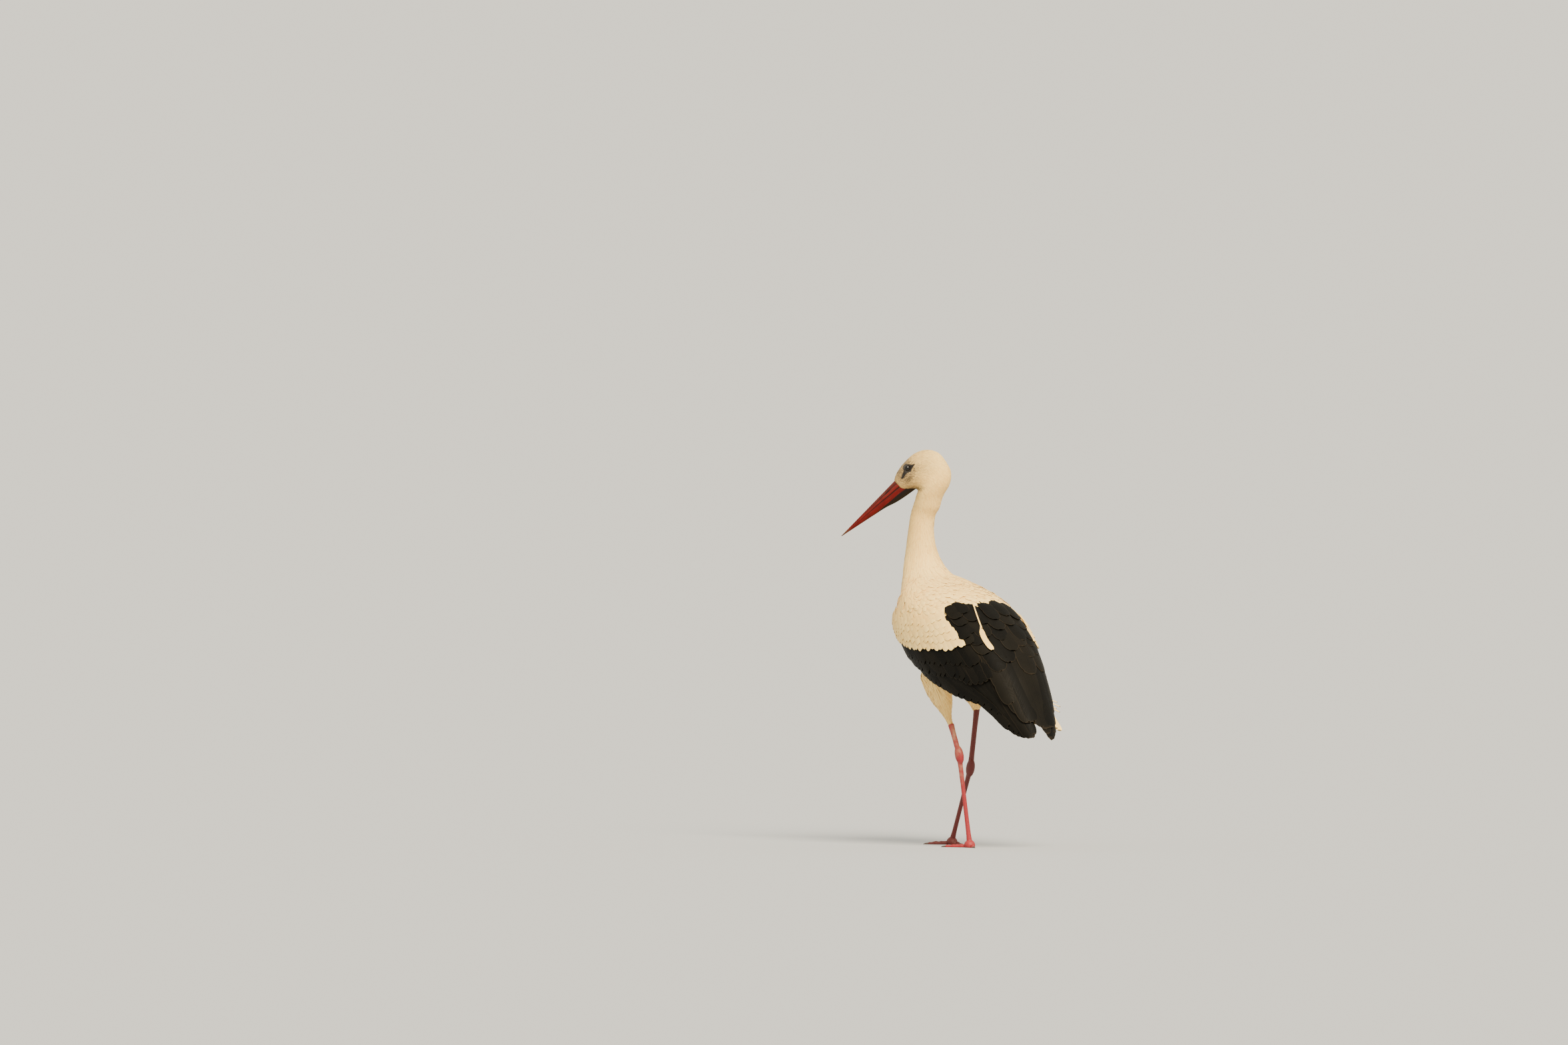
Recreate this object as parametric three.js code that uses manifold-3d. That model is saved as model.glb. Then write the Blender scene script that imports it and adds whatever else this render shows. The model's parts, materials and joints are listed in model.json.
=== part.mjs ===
// White stork, life size, standing in mid-stride with its head turned to its left.
//
// Millimetres, +Z up. The bird faces -Y, so its left side is on +X. Places on the bird are first
// written as (forward, left, up), and the whole bird is then moved so that the origin lies at the
// middle of its bounding box's base.
//
// The trunk and the folded wings share one slanting body axis. A place on them is (t, angle):
// t runs along the axis from the breast to the wing tips, and the angle runs round the body from
// the middle of the back, 0 degrees, over the bird's side to the middle of the belly, 180 degrees.
import * as THREE from "three";
import { LoftGeometry } from "three/addons/geometries/LoftGeometry.js";
import { mergeVertices } from "three/addons/utils/BufferGeometryUtils.js";
import Module from "manifold-3d";

const wasm = await Module();
wasm.setup();

// ---- driving dimensions -------------------------------------------------------------------
const GAP = 0.3; // clear space between neighbouring pieces
const BODY_PITCH = 38; // degrees that the body axis falls towards the tail
const BODY_CENTRE = { forward: -40, up: 502 }; // the body axis passes here at t = 0

// Half width, height of the back and depth of the belly, each as [t, size].
const TRUNK = {
  width: [[-272, 12], [-262, 24], [-240, 37], [-212, 48], [-180, 64], [-145, 84], [-100, 101],
    [-40, 108], [40, 107], [110, 98], [175, 76], [215, 48], [232, 16]],
  back: [[-272, 12], [-262, 24], [-240, 40], [-212, 50], [-172, 60], [-108, 74], [-36, 92],
    [43, 103], [120, 96], [175, 76], [215, 52], [232, 34]],
  belly: [[-272, 8], [-262, 18], [-240, 36], [-212, 60], [-156, 108], [-88, 133], [-20, 136],
    [50, 121], [110, 99], [175, 66], [215, 26], [232, 2]],
  squareness: { back: 0.9, belly: 0.95 },
};
const WING = {
  width: [[-190, 78], [-145, 111], [-100, 126], [-40, 133], [40, 131], [110, 123], [180, 110],
    [240, 95], [300, 78], [350, 62], [400, 44], [416, 34]],
  back: [[-190, 50], [-145, 66], [-108, 80], [-36, 107], [43, 124], [120, 122], [187, 109],
    [250, 90], [300, 70], [350, 48], [400, 24], [416, 12]],
  belly: [[-190, 100], [-100, 125], [0, 132], [110, 122], [200, 100], [300, 60], [416, 36]],
  squareness: { back: 0.84, belly: 0.82 },
};
const WING_FRONT = -164; // t at the wrist
const WING_THICKNESS = [[-164, 8], [-120, 20], [0, 23], [100, 18], [200, 11], [300, 7], [400, 3.5]];
const WING_EDGE = 1.6; // thickness at a wing's rim
// Degrees round the body of the wings' upper and lower rims. In front the two wings are alike;
// behind, the left one hangs beside the tail and the right one lies over it, nearer the middle.
const WING_UPPER_FRONT = [[-164, 92], [-150, 85], [-100, 74], [-38, 57], [-15, 45], [5, 30],
  [26, 6], [45, 0.8], [320, 1.2]];
const WING_LOWER_FRONT = [[-164, 98], [-144, 101], [-112, 106], [-71, 115], [-38, 122.5],
  [0, 127], [40, 128], [80, 125], [136, 117], [195, 108], [248, 98]];
const WINGS = {
  left: {
    side: 1,
    tip: 394,
    upper: [...WING_UPPER_FRONT, [345, 6], [368, 20], [383, 42], [394, 54]],
    lower: [...WING_LOWER_FRONT, [300, 94], [340, 96], [370, 88], [394, 66]],
  },
  right: {
    side: -1,
    tip: 408,
    upper: [...WING_UPPER_FRONT, [352, 2], [385, 8], [408, 22]],
    lower: [...WING_LOWER_FRONT, [295, 82], [330, 66], [360, 58], [388, 52], [408, 40]],
  },
};
// The groups of wing feathers, topmost first. Each covers the strip between two rims, given as
// [t, upper rim, lower rim] in degrees, less whatever the groups before it have taken; "inside"
// is one place that belongs to it.
const WING_GROUPS = {
  scapulars: {
    finish: "black_plumage",
    inside: [70, 30],
    rims: [[-42, -12, 26], [-38, -12, 34], [-16, -12, 42], [20, -12, 48], [60, -12, 53],
      [92, -12, 55.5], [120, -12, 53], [146, -12, 41], [158, -12, 22], [166, -12, -6]],
  },
  tertials: {
    finish: "black_plumage",
    inside: [255, 25],
    rims: [[100, -12, 36], [138, -12, 40], [160, -12, 43.5], [190, -12, 48], [226, -12, 53],
      [272, -12, 58], [309, -12, 52], [338, -12, 45], [360, -12, 43], [374, -12, 30],
      [384, -12, -4]],
  },
  coverts: {
    finish: "white_plumage",
    inside: [-70, 92],
    rims: [[-172, 10, 140], [-100, 10, 134], [-92, 10, 124], [-72, 10, 119], [-33, 10, 110],
      [10, 10, 99], [52, 10, 88], [90, 10, 79], [113, 10, 64], [122, 10, 48]],
  },
  greater_coverts: {
    finish: "black_plumage",
    inside: [60, 98],
    rims: [[-60, 40, 150], [-36, 40, 138], [-18, 40, 130], [30, 40, 119], [79, 40, 107],
      [136, 36, 92], [172, 36, 85], [205, 36, 80], [226, 36, 66], [234, 36, 50]],
  },
  secondaries: {
    finish: "black_plumage",
    inside: [130, 106],
    rims: [[-70, 60, 152], [160, 60, 150], [214, 70, 146], [240, 76, 140], [275, 82, 134],
      [306, 92, 128], [330, 112, 124]],
  },
  primaries: { finish: "black_plumage", inside: [350, 51] },
};

// The tail, swung a little to the right: [t, left, height over the body axis, half width,
// half thickness].
const TAIL = [[186, 0, 34, 20, 9], [225, -1, 38, 34, 9], [265, -4, 34, 44, 7], [310, -8, 28, 53, 5],
  [350, -11, 22, 60, 3.4], [366, -12, 19.5, 58, 2.4], [376, -12, 18, 45, 1.4]];

// The neck: [forward, left, up, half width, half depth].
const NECK = [[66, 0, 588, 62, 86], [102, 0, 640, 54, 68], [129, 0, 677, 46, 51],
  [138, 0, 705, 40, 42], [140, 0, 745, 34, 35], [132, 0, 790, 32, 33], [112, 1, 822, 33.5, 35],
  [100, 4, 850, 34, 37], [95, 8, 872, 30, 36]];
const NECK_CUTS = { neck_lower: 694, neck_middle: 743, neck_upper: 793, head: 842 };

// The head is a row of egg-shaped sections in its own upright plane, which is turned to the
// bird's left. "out" is measured along that plane from the bird's upright reference line.
const HEAD_TURN = 55; // degrees from straight ahead
const HEAD_PLANE = { forward: 60.1, left: -42.1 }; // where "out" is zero
// Each section: top and bottom as [out, up], then the half width.
const HEAD = [
  [[8.5, 893], [8.5, 876], 8], [[17, 913], [15, 852], 21], [[35, 936], [29, 840], 28.5],
  [[66, 945], [52, 838], 30.5], [[96, 936], [72, 846], 29], [[121, 914], [89, 850], 24.5],
  [[138, 891], [106, 847], 18.5], [[146, 871], [119, 845], 13],
];
const BILL = {
  tip: [270.6, 738.6], // [out, up]
  fall: 45.9, // degrees below level, along the ridge
  // [distance from the tip, depth of the upper half, whole depth, half width]
  sections: [[0, 0.8, 1.8, 1.1], [7, 1.6, 3.2, 2], [24, 3.4, 7, 3.6], [55, 6.4, 14, 5.6],
    [90, 9, 22, 7.8], [122, 11.6, 29.5, 10], [150, 14.5, 39, 12.2], [176, 17, 45, 13.4],
    [205, 24, 50, 14]],
};
const EYE = { out: 112.9, up: 900.2, radius: 8.2, between_centres: 39 };

// Legs: places are [forward, left, up].
const LEGS = {
  left: {
    thigh: [[-6, 61, 414, 50, 30], [-13, 60, 384, 43, 26], [-26, 58, 352, 32, 18.5],
      [-37, 56, 332, 22, 13.5], [-47, 54.5, 310, 11, 9], [-60, 53, 288, 7.8, 7.6]],
    ankle: [-86, 49, 221],
    foot: [-88, 20, 12],
    toe_in: 8, // degrees that the middle toe points towards the midline
  },
  right: {
    thigh: [[14, -60, 412, 56, 34], [8, -60, 380, 50, 31], [0, -59, 356, 32, 23],
      [-7, -57, 338, 17, 14], [-10, -56, 322, 9, 8.6]],
    ankle: [1, -46, 186],
    foot: [107, -68, 12],
    toe_in: 2,
  },
};
const SHIN_RADII = [[0, 7.4], [0.35, 6.2], [0.75, 6.2], [1, 8]];
const ANKLE = { along: 23, deep: 12.2, wide: 9.6 }; // half sizes
const TARSUS_RADII = [[0, 7.6], [0.12, 5.8], [0.5, 5], [0.85, 5.4], [1, 7]];
const FOOT_PAD = { long: 15, wide: 12.5, high: 19 };
// Toes: degrees from the middle toe (outwards is positive), length, half width at the root.
const TOES = {
  inner: { splay: -37, length: 60, root: 4.9 },
  middle: { splay: 0, length: 76, root: 5.3 },
  outer: { splay: 37, length: 64, root: 4.9 },
  hind: { splay: 172, length: 27, root: 4.2 },
};
const TOE_TALL = 8.6;
const CLAW = { long: 11.5, half_wide: 2.3, tall: 4.2 };

// ---- finishes -----------------------------------------------------------------------------
const FINISHES = {
  white_plumage: new THREE.MeshStandardMaterial({ color: 0xe9dfc8, roughness: 0.95 }),
  black_plumage: new THREE.MeshStandardMaterial({ color: 0x2c2b28, roughness: 0.8 }),
  bill: new THREE.MeshStandardMaterial({ color: 0xa02a28, roughness: 0.45 }),
  eye: new THREE.MeshStandardMaterial({ color: 0x14100c, roughness: 0.08 }),
  leg_skin: new THREE.MeshStandardMaterial({ color: 0xc4454a, roughness: 0.6 }),
  claw: new THREE.MeshStandardMaterial({ color: 0x4a3630, roughness: 0.5 }),
};

// ---- small geometry helpers ---------------------------------------------------------------
const radians = THREE.MathUtils.degToRad;
const clamp = THREE.MathUtils.clamp;

/** The part's own axes for a place given as forward, left and up. */
const place = (forward, left, up) => new THREE.Vector3(left, -forward, up);

/**
 * A smooth curve through [x, value] keys; beyond the first and last it stays level. It never
 * swings past a key, because its slope there is the harmonic mean of the slopes on either side.
 */
function smoothThrough(keys) {
  const slopes = keys.slice(1).map(([x, y], i) => (y - keys[i][1]) / (x - keys[i][0]));
  const tangents = keys.map((_, i) => {
    if (i === 0 || i === slopes.length) return slopes[Math.min(i, slopes.length - 1)];
    if (slopes[i - 1] * slopes[i] <= 0) return 0;
    const before = keys[i][0] - keys[i - 1][0];
    const after = keys[i + 1][0] - keys[i][0];
    return (3 * (before + after)) /
      ((2 * after + before) / slopes[i - 1] + (after + 2 * before) / slopes[i]);
  });
  return (at) => {
    const x = clamp(at, keys[0][0], keys[keys.length - 1][0]);
    let i = keys.findIndex(([key]) => x < key) - 1;
    if (i < 0) i = x <= keys[0][0] ? 0 : keys.length - 2;
    const span = keys[i + 1][0] - keys[i][0];
    const s = (x - keys[i][0]) / span;
    const [a, b] = [keys[i][1], keys[i + 1][1]];
    return (1 + 2 * s) * (1 - s) ** 2 * a + s * (1 - s) ** 2 * span * tangents[i] +
      s * s * (3 - 2 * s) * b + s * s * (s - 1) * span * tangents[i + 1];
  };
}

/** Numbers spaced evenly from a to b, both included. */
const spread = (a, b, steps) =>
  Array.from({ length: steps + 1 }, (_, i) => a + ((b - a) * i) / steps);

/** A manifold solid from a closed geometry. */
function solidOf(geometry) {
  const bare = new THREE.BufferGeometry().setIndex(geometry.index);
  bare.setAttribute("position", geometry.attributes.position);
  const merged = mergeVertices(bare, 1e-4);
  return new wasm.Manifold(new wasm.Mesh({
    numProp: 3,
    vertProperties: merged.attributes.position.array,
    triVerts: new Uint32Array(merged.index.array),
  }));
}

/** The vector area of a ring of points, which points along the loft if the ring winds rightly. */
function vectorArea(points) {
  return points.reduce((sum, point, i) =>
    sum.add(point.clone().cross(points[(i + 1) % points.length])), new THREE.Vector3());
}

/** A closed solid skinned over a row of sections, whichever way round they wind. */
function loft(sections) {
  const middle = Math.floor(sections.length / 2);
  const [before, after] = [sections[middle - 1], sections[middle]].map((points) =>
    points.reduce((sum, point) => sum.add(point), new THREE.Vector3()).divideScalar(points.length));
  const rightWay = vectorArea(sections[middle]).dot(after.sub(before)) > 0;
  const rows = rightWay ? sections : sections.map((points) => points.slice().reverse());
  return solidOf(new LoftGeometry(rows, { capStart: true, capEnd: true }));
}

/** A ring of points round a centre: centre + a cos + b sin, with vectors a and b. */
function ring(centre, a, b, sides, power = 1) {
  return Array.from({ length: sides }, (_, i) => {
    const angle = (2 * Math.PI * i) / sides;
    const [c, s] = [Math.cos(angle), Math.sin(angle)];
    return centre.clone()
      .addScaledVector(a, Math.sign(c) * Math.abs(c) ** power)
      .addScaledVector(b, Math.sign(s) * Math.abs(s) ** power);
  });
}

/** The solid's piece that holds a place. */
function pieceAt(solid, point) {
  const probe = solidOf(new THREE.IcosahedronGeometry(0.8, 0).translate(...point.toArray()));
  const piece = solid.decompose().find((body) => body.intersect(probe).volume() > 0);
  if (!piece) throw new Error("no piece at " + point.toArray().map(Math.round));
  return piece;
}

const stork = new THREE.Group();
const bird = new THREE.Group();
bird.name = "bird";
stork.add(bird);

/** Adds a solid to the bird as one named piece. */
function addPiece(name, solid, finish) {
  const { vertProperties, triVerts } = solid.getMesh();
  const geometry = new THREE.BufferGeometry();
  geometry.setAttribute("position", new THREE.BufferAttribute(vertProperties, 3));
  geometry.setIndex(new THREE.BufferAttribute(triVerts, 1));
  geometry.computeVertexNormals();
  const mesh = new THREE.Mesh(geometry, FINISHES[finish]);
  mesh.name = name;
  bird.add(mesh);
}

// ---- body surfaces ------------------------------------------------------------------------
const pitch = radians(BODY_PITCH);

/** A place in the slanting body frame: t along the axis, left of it, and out of the back. */
const bodyPlace = (t, left, out) => place(
  BODY_CENTRE.forward - t * Math.cos(pitch) - out * Math.sin(pitch),
  left,
  BODY_CENTRE.up - t * Math.sin(pitch) + out * Math.cos(pitch),
);

/** A surface round the body axis; "grow" moves it outwards. */
function bodySurface({ width, back, belly, squareness }) {
  const [halfWidth, upper, lower] = [width, back, belly].map(smoothThrough);
  return (t, angle, grow = 0) => {
    const [s, c] = [Math.sin(angle), Math.cos(angle)];
    const power = c > 0 ? squareness.back : squareness.belly;
    const left = (halfWidth(t) + grow) * Math.sign(s) * Math.abs(s) ** power;
    const reach = (c > 0 ? upper(t) : lower(t)) + grow;
    return bodyPlace(t, left, reach * Math.sign(c) * Math.abs(c) ** power);
  };
}
const trunkInner = bodySurface(TRUNK);
const wingOuter = bodySurface(WING);
const wingUpper = smoothThrough(WING_UPPER_FRONT);
const wingWidth = smoothThrough(WING.width);
const wingThickness = smoothThrough(WING_THICKNESS);

/** The trunk: it fills out to the wings' own level wherever no wing lies on it. */
function trunkPoint(t, angle, grow) {
  const inner = trunkInner(t, angle, grow);
  if (t < WING.width[0][0]) return inner;
  const aboveRim = wingUpper(t) - THREE.MathUtils.radToDeg(Math.abs(angle));
  const open = THREE.MathUtils.smoothstep(aboveRim, -2, 14) *
    THREE.MathUtils.smoothstep(t, WING.width[0][0], WING.width[0][0] + 22);
  return inner.lerp(wingOuter(t, angle, grow - 1), open);
}

function trunkSolid(grow) {
  const angles = spread(-Math.PI, Math.PI, 20).slice(1);
  const [first, last] = [TRUNK.width[0][0], TRUNK.width[TRUNK.width.length - 1][0]];
  return loft(spread(first, last, 18).map((t) => angles.map((a) => trunkPoint(t, a, grow))));
}

// ---- neck and head ------------------------------------------------------------------------
function neckSolid() {
  const route = new THREE.CatmullRomCurve3(NECK.map(([f, l, up]) => place(f, l, up)),
    false, "centripetal");
  const size = (column) => smoothThrough(NECK.map((row, i) => [i / (NECK.length - 1), row[column]]));
  const [wide, deep] = [size(3), size(4)];
  return loft(spread(0, 1, 11).map((s) => {
    const ahead = route.getTangent(s);
    const across = new THREE.Vector3(1, 0, 0);
    const through = new THREE.Vector3().crossVectors(ahead, across).normalize();
    across.crossVectors(through, ahead).normalize();
    return ring(route.getPoint(s), across.multiplyScalar(wide(s)),
      through.multiplyScalar(deep(s)), 14);
  }));
}

const headAhead = place(Math.cos(radians(HEAD_TURN)), Math.sin(radians(HEAD_TURN)), 0);
const headLeft = place(-Math.sin(radians(HEAD_TURN)), Math.cos(radians(HEAD_TURN)), 0);

/** A place by the head's own plane: out along it, up, and to the head's left. */
const headPlace = (out, up, left = 0) =>
  place(HEAD_PLANE.forward, HEAD_PLANE.left, up)
    .addScaledVector(headAhead, out)
    .addScaledVector(headLeft, left);

function headSolid(grow) {
  const last = HEAD.length - 1;
  const curve = (pick) => smoothThrough(HEAD.map((row, i) => [i, pick(row)]));
  const [topOut, topUp] = [curve((r) => r[0][0]), curve((r) => r[0][1])];
  const [lowOut, lowUp] = [curve((r) => r[1][0]), curve((r) => r[1][1])];
  const half = curve((r) => r[2]);
  return loft(spread(0, last, 11).map((s) => {
    const top = headPlace(topOut(s), topUp(s));
    const low = headPlace(lowOut(s), lowUp(s));
    const upward = top.clone().sub(low).multiplyScalar(0.5);
    const middle = top.clone().add(low).multiplyScalar(0.5);
    const side = headLeft.clone().multiplyScalar(half(s) + grow);
    return ring(middle, upward.setLength(upward.length() + grow), side, 16);
  }));
}

function billHalf(upper) {
  const fall = radians(BILL.fall);
  const curve = (column) => smoothThrough(BILL.sections.map((row) => [row[0], row[column]]));
  const [split, whole, half] = [curve(1), curve(2), curve(3)];
  const farthest = BILL.sections[BILL.sections.length - 1][0];
  const distances = spread(0, 1, 9).map((s) => farthest * s ** 1.4);
  return loft(distances.map((d) => {
    const ridge = [BILL.tip[0] - d * Math.cos(fall), BILL.tip[1] + d * Math.sin(fall)];
    const at = (depth, left) => headPlace(ridge[0] - depth * Math.sin(fall),
      ridge[1] - depth * Math.cos(fall), left);
    const [from, to] = upper ? [0, split(d) - GAP / 2] : [split(d) + GAP / 2, whole(d)];
    return spread(0, Math.PI, 6).map((angle) => {
      const depth = upper ? to - (to - from) * Math.sin(angle) : from + (to - from) * Math.sin(angle);
      return at(depth, half(d) * Math.cos(angle));
    });
  }));
}

/** Cuts thin level slots through the neck and names the pieces between them. */
function addNeckAndHead() {
  const eyes = [["eye_left", 1], ["eye_right", -1]].map(([name, side]) => {
    const centre = headPlace(EYE.out, EYE.up, (side * EYE.between_centres) / 2);
    const ball = (radius) =>
      solidOf(new THREE.SphereGeometry(radius, 10, 7).translate(...centre.toArray()));
    return { name, ball };
  });
  let flesh = trunkSolid(0).add(neckSolid()).add(headSolid(0));
  eyes.forEach(({ ball }) => { flesh = flesh.subtract(ball(EYE.radius + GAP)); });
  const neckRoute = smoothThrough(NECK.map(([f, , up]) => [up, f]));
  const plateSize = 150;
  const insideRise = 12; // from a cut up to a place well inside the piece above it
  Object.values(NECK_CUTS).forEach((up) => {
    const plate = new THREE.BoxGeometry(plateSize, plateSize, GAP);
    plate.translate(...place(neckRoute(up), 0, up).toArray());
    flesh = flesh.subtract(solidOf(plate));
  });
  const names = Object.keys(NECK_CUTS);
  names.forEach((name, i) => {
    const up = NECK_CUTS[name] + insideRise;
    const inside = name === "head" ? headPlace(70, up + 30) : place(neckRoute(up), 0, up);
    addPiece(name, pieceAt(flesh, inside), "white_plumage");
  });
  addPiece("trunk", pieceAt(flesh, bodyPlace(0, 0, 0)), "white_plumage");
  eyes.forEach(({ name, ball }) => addPiece(name, ball(EYE.radius), "eye"));
  const headRoom = headSolid(GAP);
  const bill = (half) => pieceAt(billHalf(half === "upper").subtract(headRoom),
    headPlace(...billInside(half)));
  ["upper", "lower"].forEach((half) => addPiece("bill_" + half, bill(half), "bill"));
}

/** A place well inside one half of the bill, as [out, up]. */
function billInside(half) {
  const [d, split, whole] = BILL.sections[4];
  const depth = half === "upper" ? split / 2 : (split + whole) / 2;
  const fall = radians(BILL.fall);
  return [BILL.tip[0] - d * Math.cos(fall) - depth * Math.sin(fall),
    BILL.tip[1] + d * Math.sin(fall) - depth * Math.cos(fall)];
}

// ---- wings and tail -----------------------------------------------------------------------
/** A whole folded wing: a curved slab, thin at its rims, lying on the trunk. */
function wingSlab({ side, tip, upper, lower }, grow = 0) {
  const across = 6;
  const degreesPerMm = 0.6; // at the rims
  const [upperRim, lowerRim] = [upper, lower].map(smoothThrough);
  const rimGrow = grow * degreesPerMm;
  return loft(spread(WING_FRONT - grow, tip + grow, 21).map((t) => {
    const [from, to] = [radians(upperRim(t) - rimGrow), radians(lowerRim(t) + rimGrow)];
    const at = (s, out) => wingOuter(t, side * (from + (to - from) * s), out);
    const steps = spread(0, 1, across);
    const outer = steps.map((s) => at(s, grow));
    const inner = steps.slice().reverse().map((s) => {
      // Full thickness between the rims, half of it at the upper one and none at the lower one.
      const swell = Math.min(1, 6 * (1 - s), 0.45 + 6 * s);
      return at(s, -grow - WING_EDGE - (wingThickness(t) - WING_EDGE) * swell);
    });
    return [...outer, ...inner];
  }));
}

/** Everything under the strip between a group's rims, right through the wing. */
function groupRoom(rims, side, grow = 0) {
  const across = 4;
  const spacing = 26; // between its sections
  const clear = 16; // how far it stands out of the wing's outer face
  const below = 6; // how far it reaches past the wing's inner face
  const column = (i) => smoothThrough(rims.map((row) => [row[0], row[i]]));
  const [upper, lower] = [column(1), column(2)];
  const [first, last] = [rims[0][0], rims[rims.length - 1][0]];
  const stations = Math.round((last - first) / spacing);
  return loft(spread(0, 1, stations).map((share, i) => {
    const at = first + (last - first) * (1 - (1 - share) ** 1.5);
    const t = at + (i === 0 ? -grow : 0) + (i === stations ? grow : 0);
    const slack = THREE.MathUtils.radToDeg((1.6 * grow) / wingWidth(at));
    const angles = spread(radians(upper(at) - slack), radians(lower(at) + slack), across);
    const depth = wingThickness(at) + below;
    return [...angles.map((angle) => wingOuter(t, side * angle, clear)),
      ...angles.reverse().map((angle) => wingOuter(t, side * angle, -depth))];
  }));
}

/** One folded wing, parted into its groups of feathers. */
function addWing(name, wing, trunkRoom) {
  let body = wingSlab(wing).subtract(trunkRoom);
  Object.entries(WING_GROUPS).forEach(([group, { finish, inside: [t, degrees], rims }]) => {
    const inside = wingOuter(t, wing.side * radians(degrees), -wingThickness(t) / 2);
    const share = rims ? body.intersect(groupRoom(rims, wing.side)) : body;
    addPiece("wing_" + name + "_" + group, pieceAt(share, inside), finish);
    if (rims) body = body.subtract(groupRoom(rims, wing.side, GAP));
  });
}

function addTail(room) {
  const [first, last] = [TAIL[0][0], TAIL[TAIL.length - 1][0]];
  const [left, height, half, thick] = [1, 2, 3, 4].map((column) =>
    smoothThrough(TAIL.map((row) => [row[0], row[column]])));
  const origin = bodyPlace(0, 0, 0);
  const tail = loft(spread(first, last, 7).map((t) => ring(bodyPlace(t, left(t), height(t)),
    bodyPlace(0, half(t), 0).sub(origin), bodyPlace(0, 0, thick(t)).sub(origin), 12)));
  addPiece("tail", pieceAt(tail.subtract(room), bodyPlace(last - 20, left(last), height(last - 20))),
    "white_plumage");
}

// ---- legs ---------------------------------------------------------------------------------
/** A round limb between two places, its radius given by keys from 0 to 1. */
function limb(from, to, radii, sides = 8, steps = 4) {
  const along = to.clone().sub(from).normalize();
  const across = new THREE.Vector3(1, 0, 0).addScaledVector(along, -along.x).normalize();
  const through = new THREE.Vector3().crossVectors(along, across);
  const radius = smoothThrough(radii);
  return loft(spread(0, 1, steps).map((s) => ring(from.clone().lerp(to, s),
    across.clone().multiplyScalar(radius(s)), through.clone().multiplyScalar(radius(s)), sides)));
}

/** The feathered thigh; "grow" widens it and drops its lower end. */
function thighSolid(rows, grow = 0) {
  const curve = (column) => smoothThrough(rows.map((row, i) => [i, row[column]]));
  const [forward, left, up, deep, wide] = [0, 1, 2, 3, 4].map(curve);
  const last = rows.length - 1;
  return loft(spread(0, last, 7).map((s) => {
    const centre = place(forward(s), left(s), up(s) - (s === last ? grow : 0));
    const depth = deep(s) + grow;
    return ring(centre, place(depth, 0, -0.25 * depth), place(0, wide(s) + grow, 0), 12);
  }));
}

/** A swelling joint: an egg set along the mean direction of the bones it joins. */
function ankleSolid(centre, along, grow = 0) {
  const egg = new THREE.SphereGeometry(1, 8, 8);
  const turn = new THREE.Quaternion().setFromUnitVectors(new THREE.Vector3(0, 1, 0), along);
  const scale = new THREE.Vector3(ANKLE.wide + grow, ANKLE.along + grow, ANKLE.deep + grow);
  egg.applyMatrix4(new THREE.Matrix4().compose(centre, turn, scale));
  return solidOf(egg);
}

/** A bar along the floor with a flat sole, from rows of [distance, half width, height]. */
function floorBar(from, direction, rows, sides) {
  const across = new THREE.Vector3(-direction.y, direction.x, 0);
  const belly = 0.36; // the share of the height at which the bar is widest
  return loft(rows.map(([distance, half, tall]) => {
    const centre = from.clone().addScaledVector(direction, distance);
    return Array.from({ length: sides }, (_, i) => {
      const angle = (2 * Math.PI * (i + 0.5)) / sides;
      const height = tall * (belly + (1 - belly) * Math.sin(angle));
      return centre.clone().addScaledVector(across, half * Math.cos(angle))
        .setZ(Math.max(0, height));
    });
  }));
}

/** The ball of the foot, where the toes and the tarsus meet. */
function footPad(ground, direction, grow = 0) {
  return floorBar(ground, direction, spread(-1, 1, 5).map((s) => {
    const roundness = Math.sqrt(Math.max(0.06, 1 - s * s));
    return [s * (FOOT_PAD.long + grow), FOOT_PAD.wide * roundness + grow,
      FOOT_PAD.high * roundness ** 0.8 + grow];
  }), 8);
}

/** A toe swells at its pads and thins between them. */
function toeSolid(ground, direction, { length, root }, grow = 0) {
  const padLength = 21;
  return floorBar(ground, direction, spread(2, length + grow, 5).map((d) => {
    const taper = 1 - 0.32 * (d / length);
    const pad = 1 + 0.09 * Math.cos((2 * Math.PI * d) / padLength);
    return [d, root * taper * pad + grow, TOE_TALL * taper * pad + grow];
  }), 6);
}

function clawSolid(ground, direction, { length }) {
  return floorBar(ground, direction, spread(0, 1, 2).map((s) => [
    length + GAP + CLAW.long * s,
    CLAW.half_wide * (1 - 0.75 * s * s),
    CLAW.tall * (1 - 0.7 * s * s),
  ]), 5);
}

function addFoot(name, ground, side, toeIn) {
  const forward = place(1, 0, 0);
  const directionOf = (splay) => {
    const turn = radians(side * (splay - toeIn));
    return place(Math.cos(turn), Math.sin(turn), 0);
  };
  addPiece("foot_" + name, footPad(ground, forward), "leg_skin");
  let taken = footPad(ground, forward, GAP);
  Object.entries(TOES).forEach(([toe, size]) => {
    const direction = directionOf(size.splay);
    const tip = ground.clone().addScaledVector(direction, size.length * 0.85).setZ(2);
    addPiece("toe_" + name + "_" + toe,
      pieceAt(toeSolid(ground, direction, size).subtract(taken), tip), "leg_skin");
    addPiece("claw_" + name + "_" + toe, clawSolid(ground, direction, size), "claw");
    taken = taken.add(toeSolid(ground, direction, size, GAP));
  });
}

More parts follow.
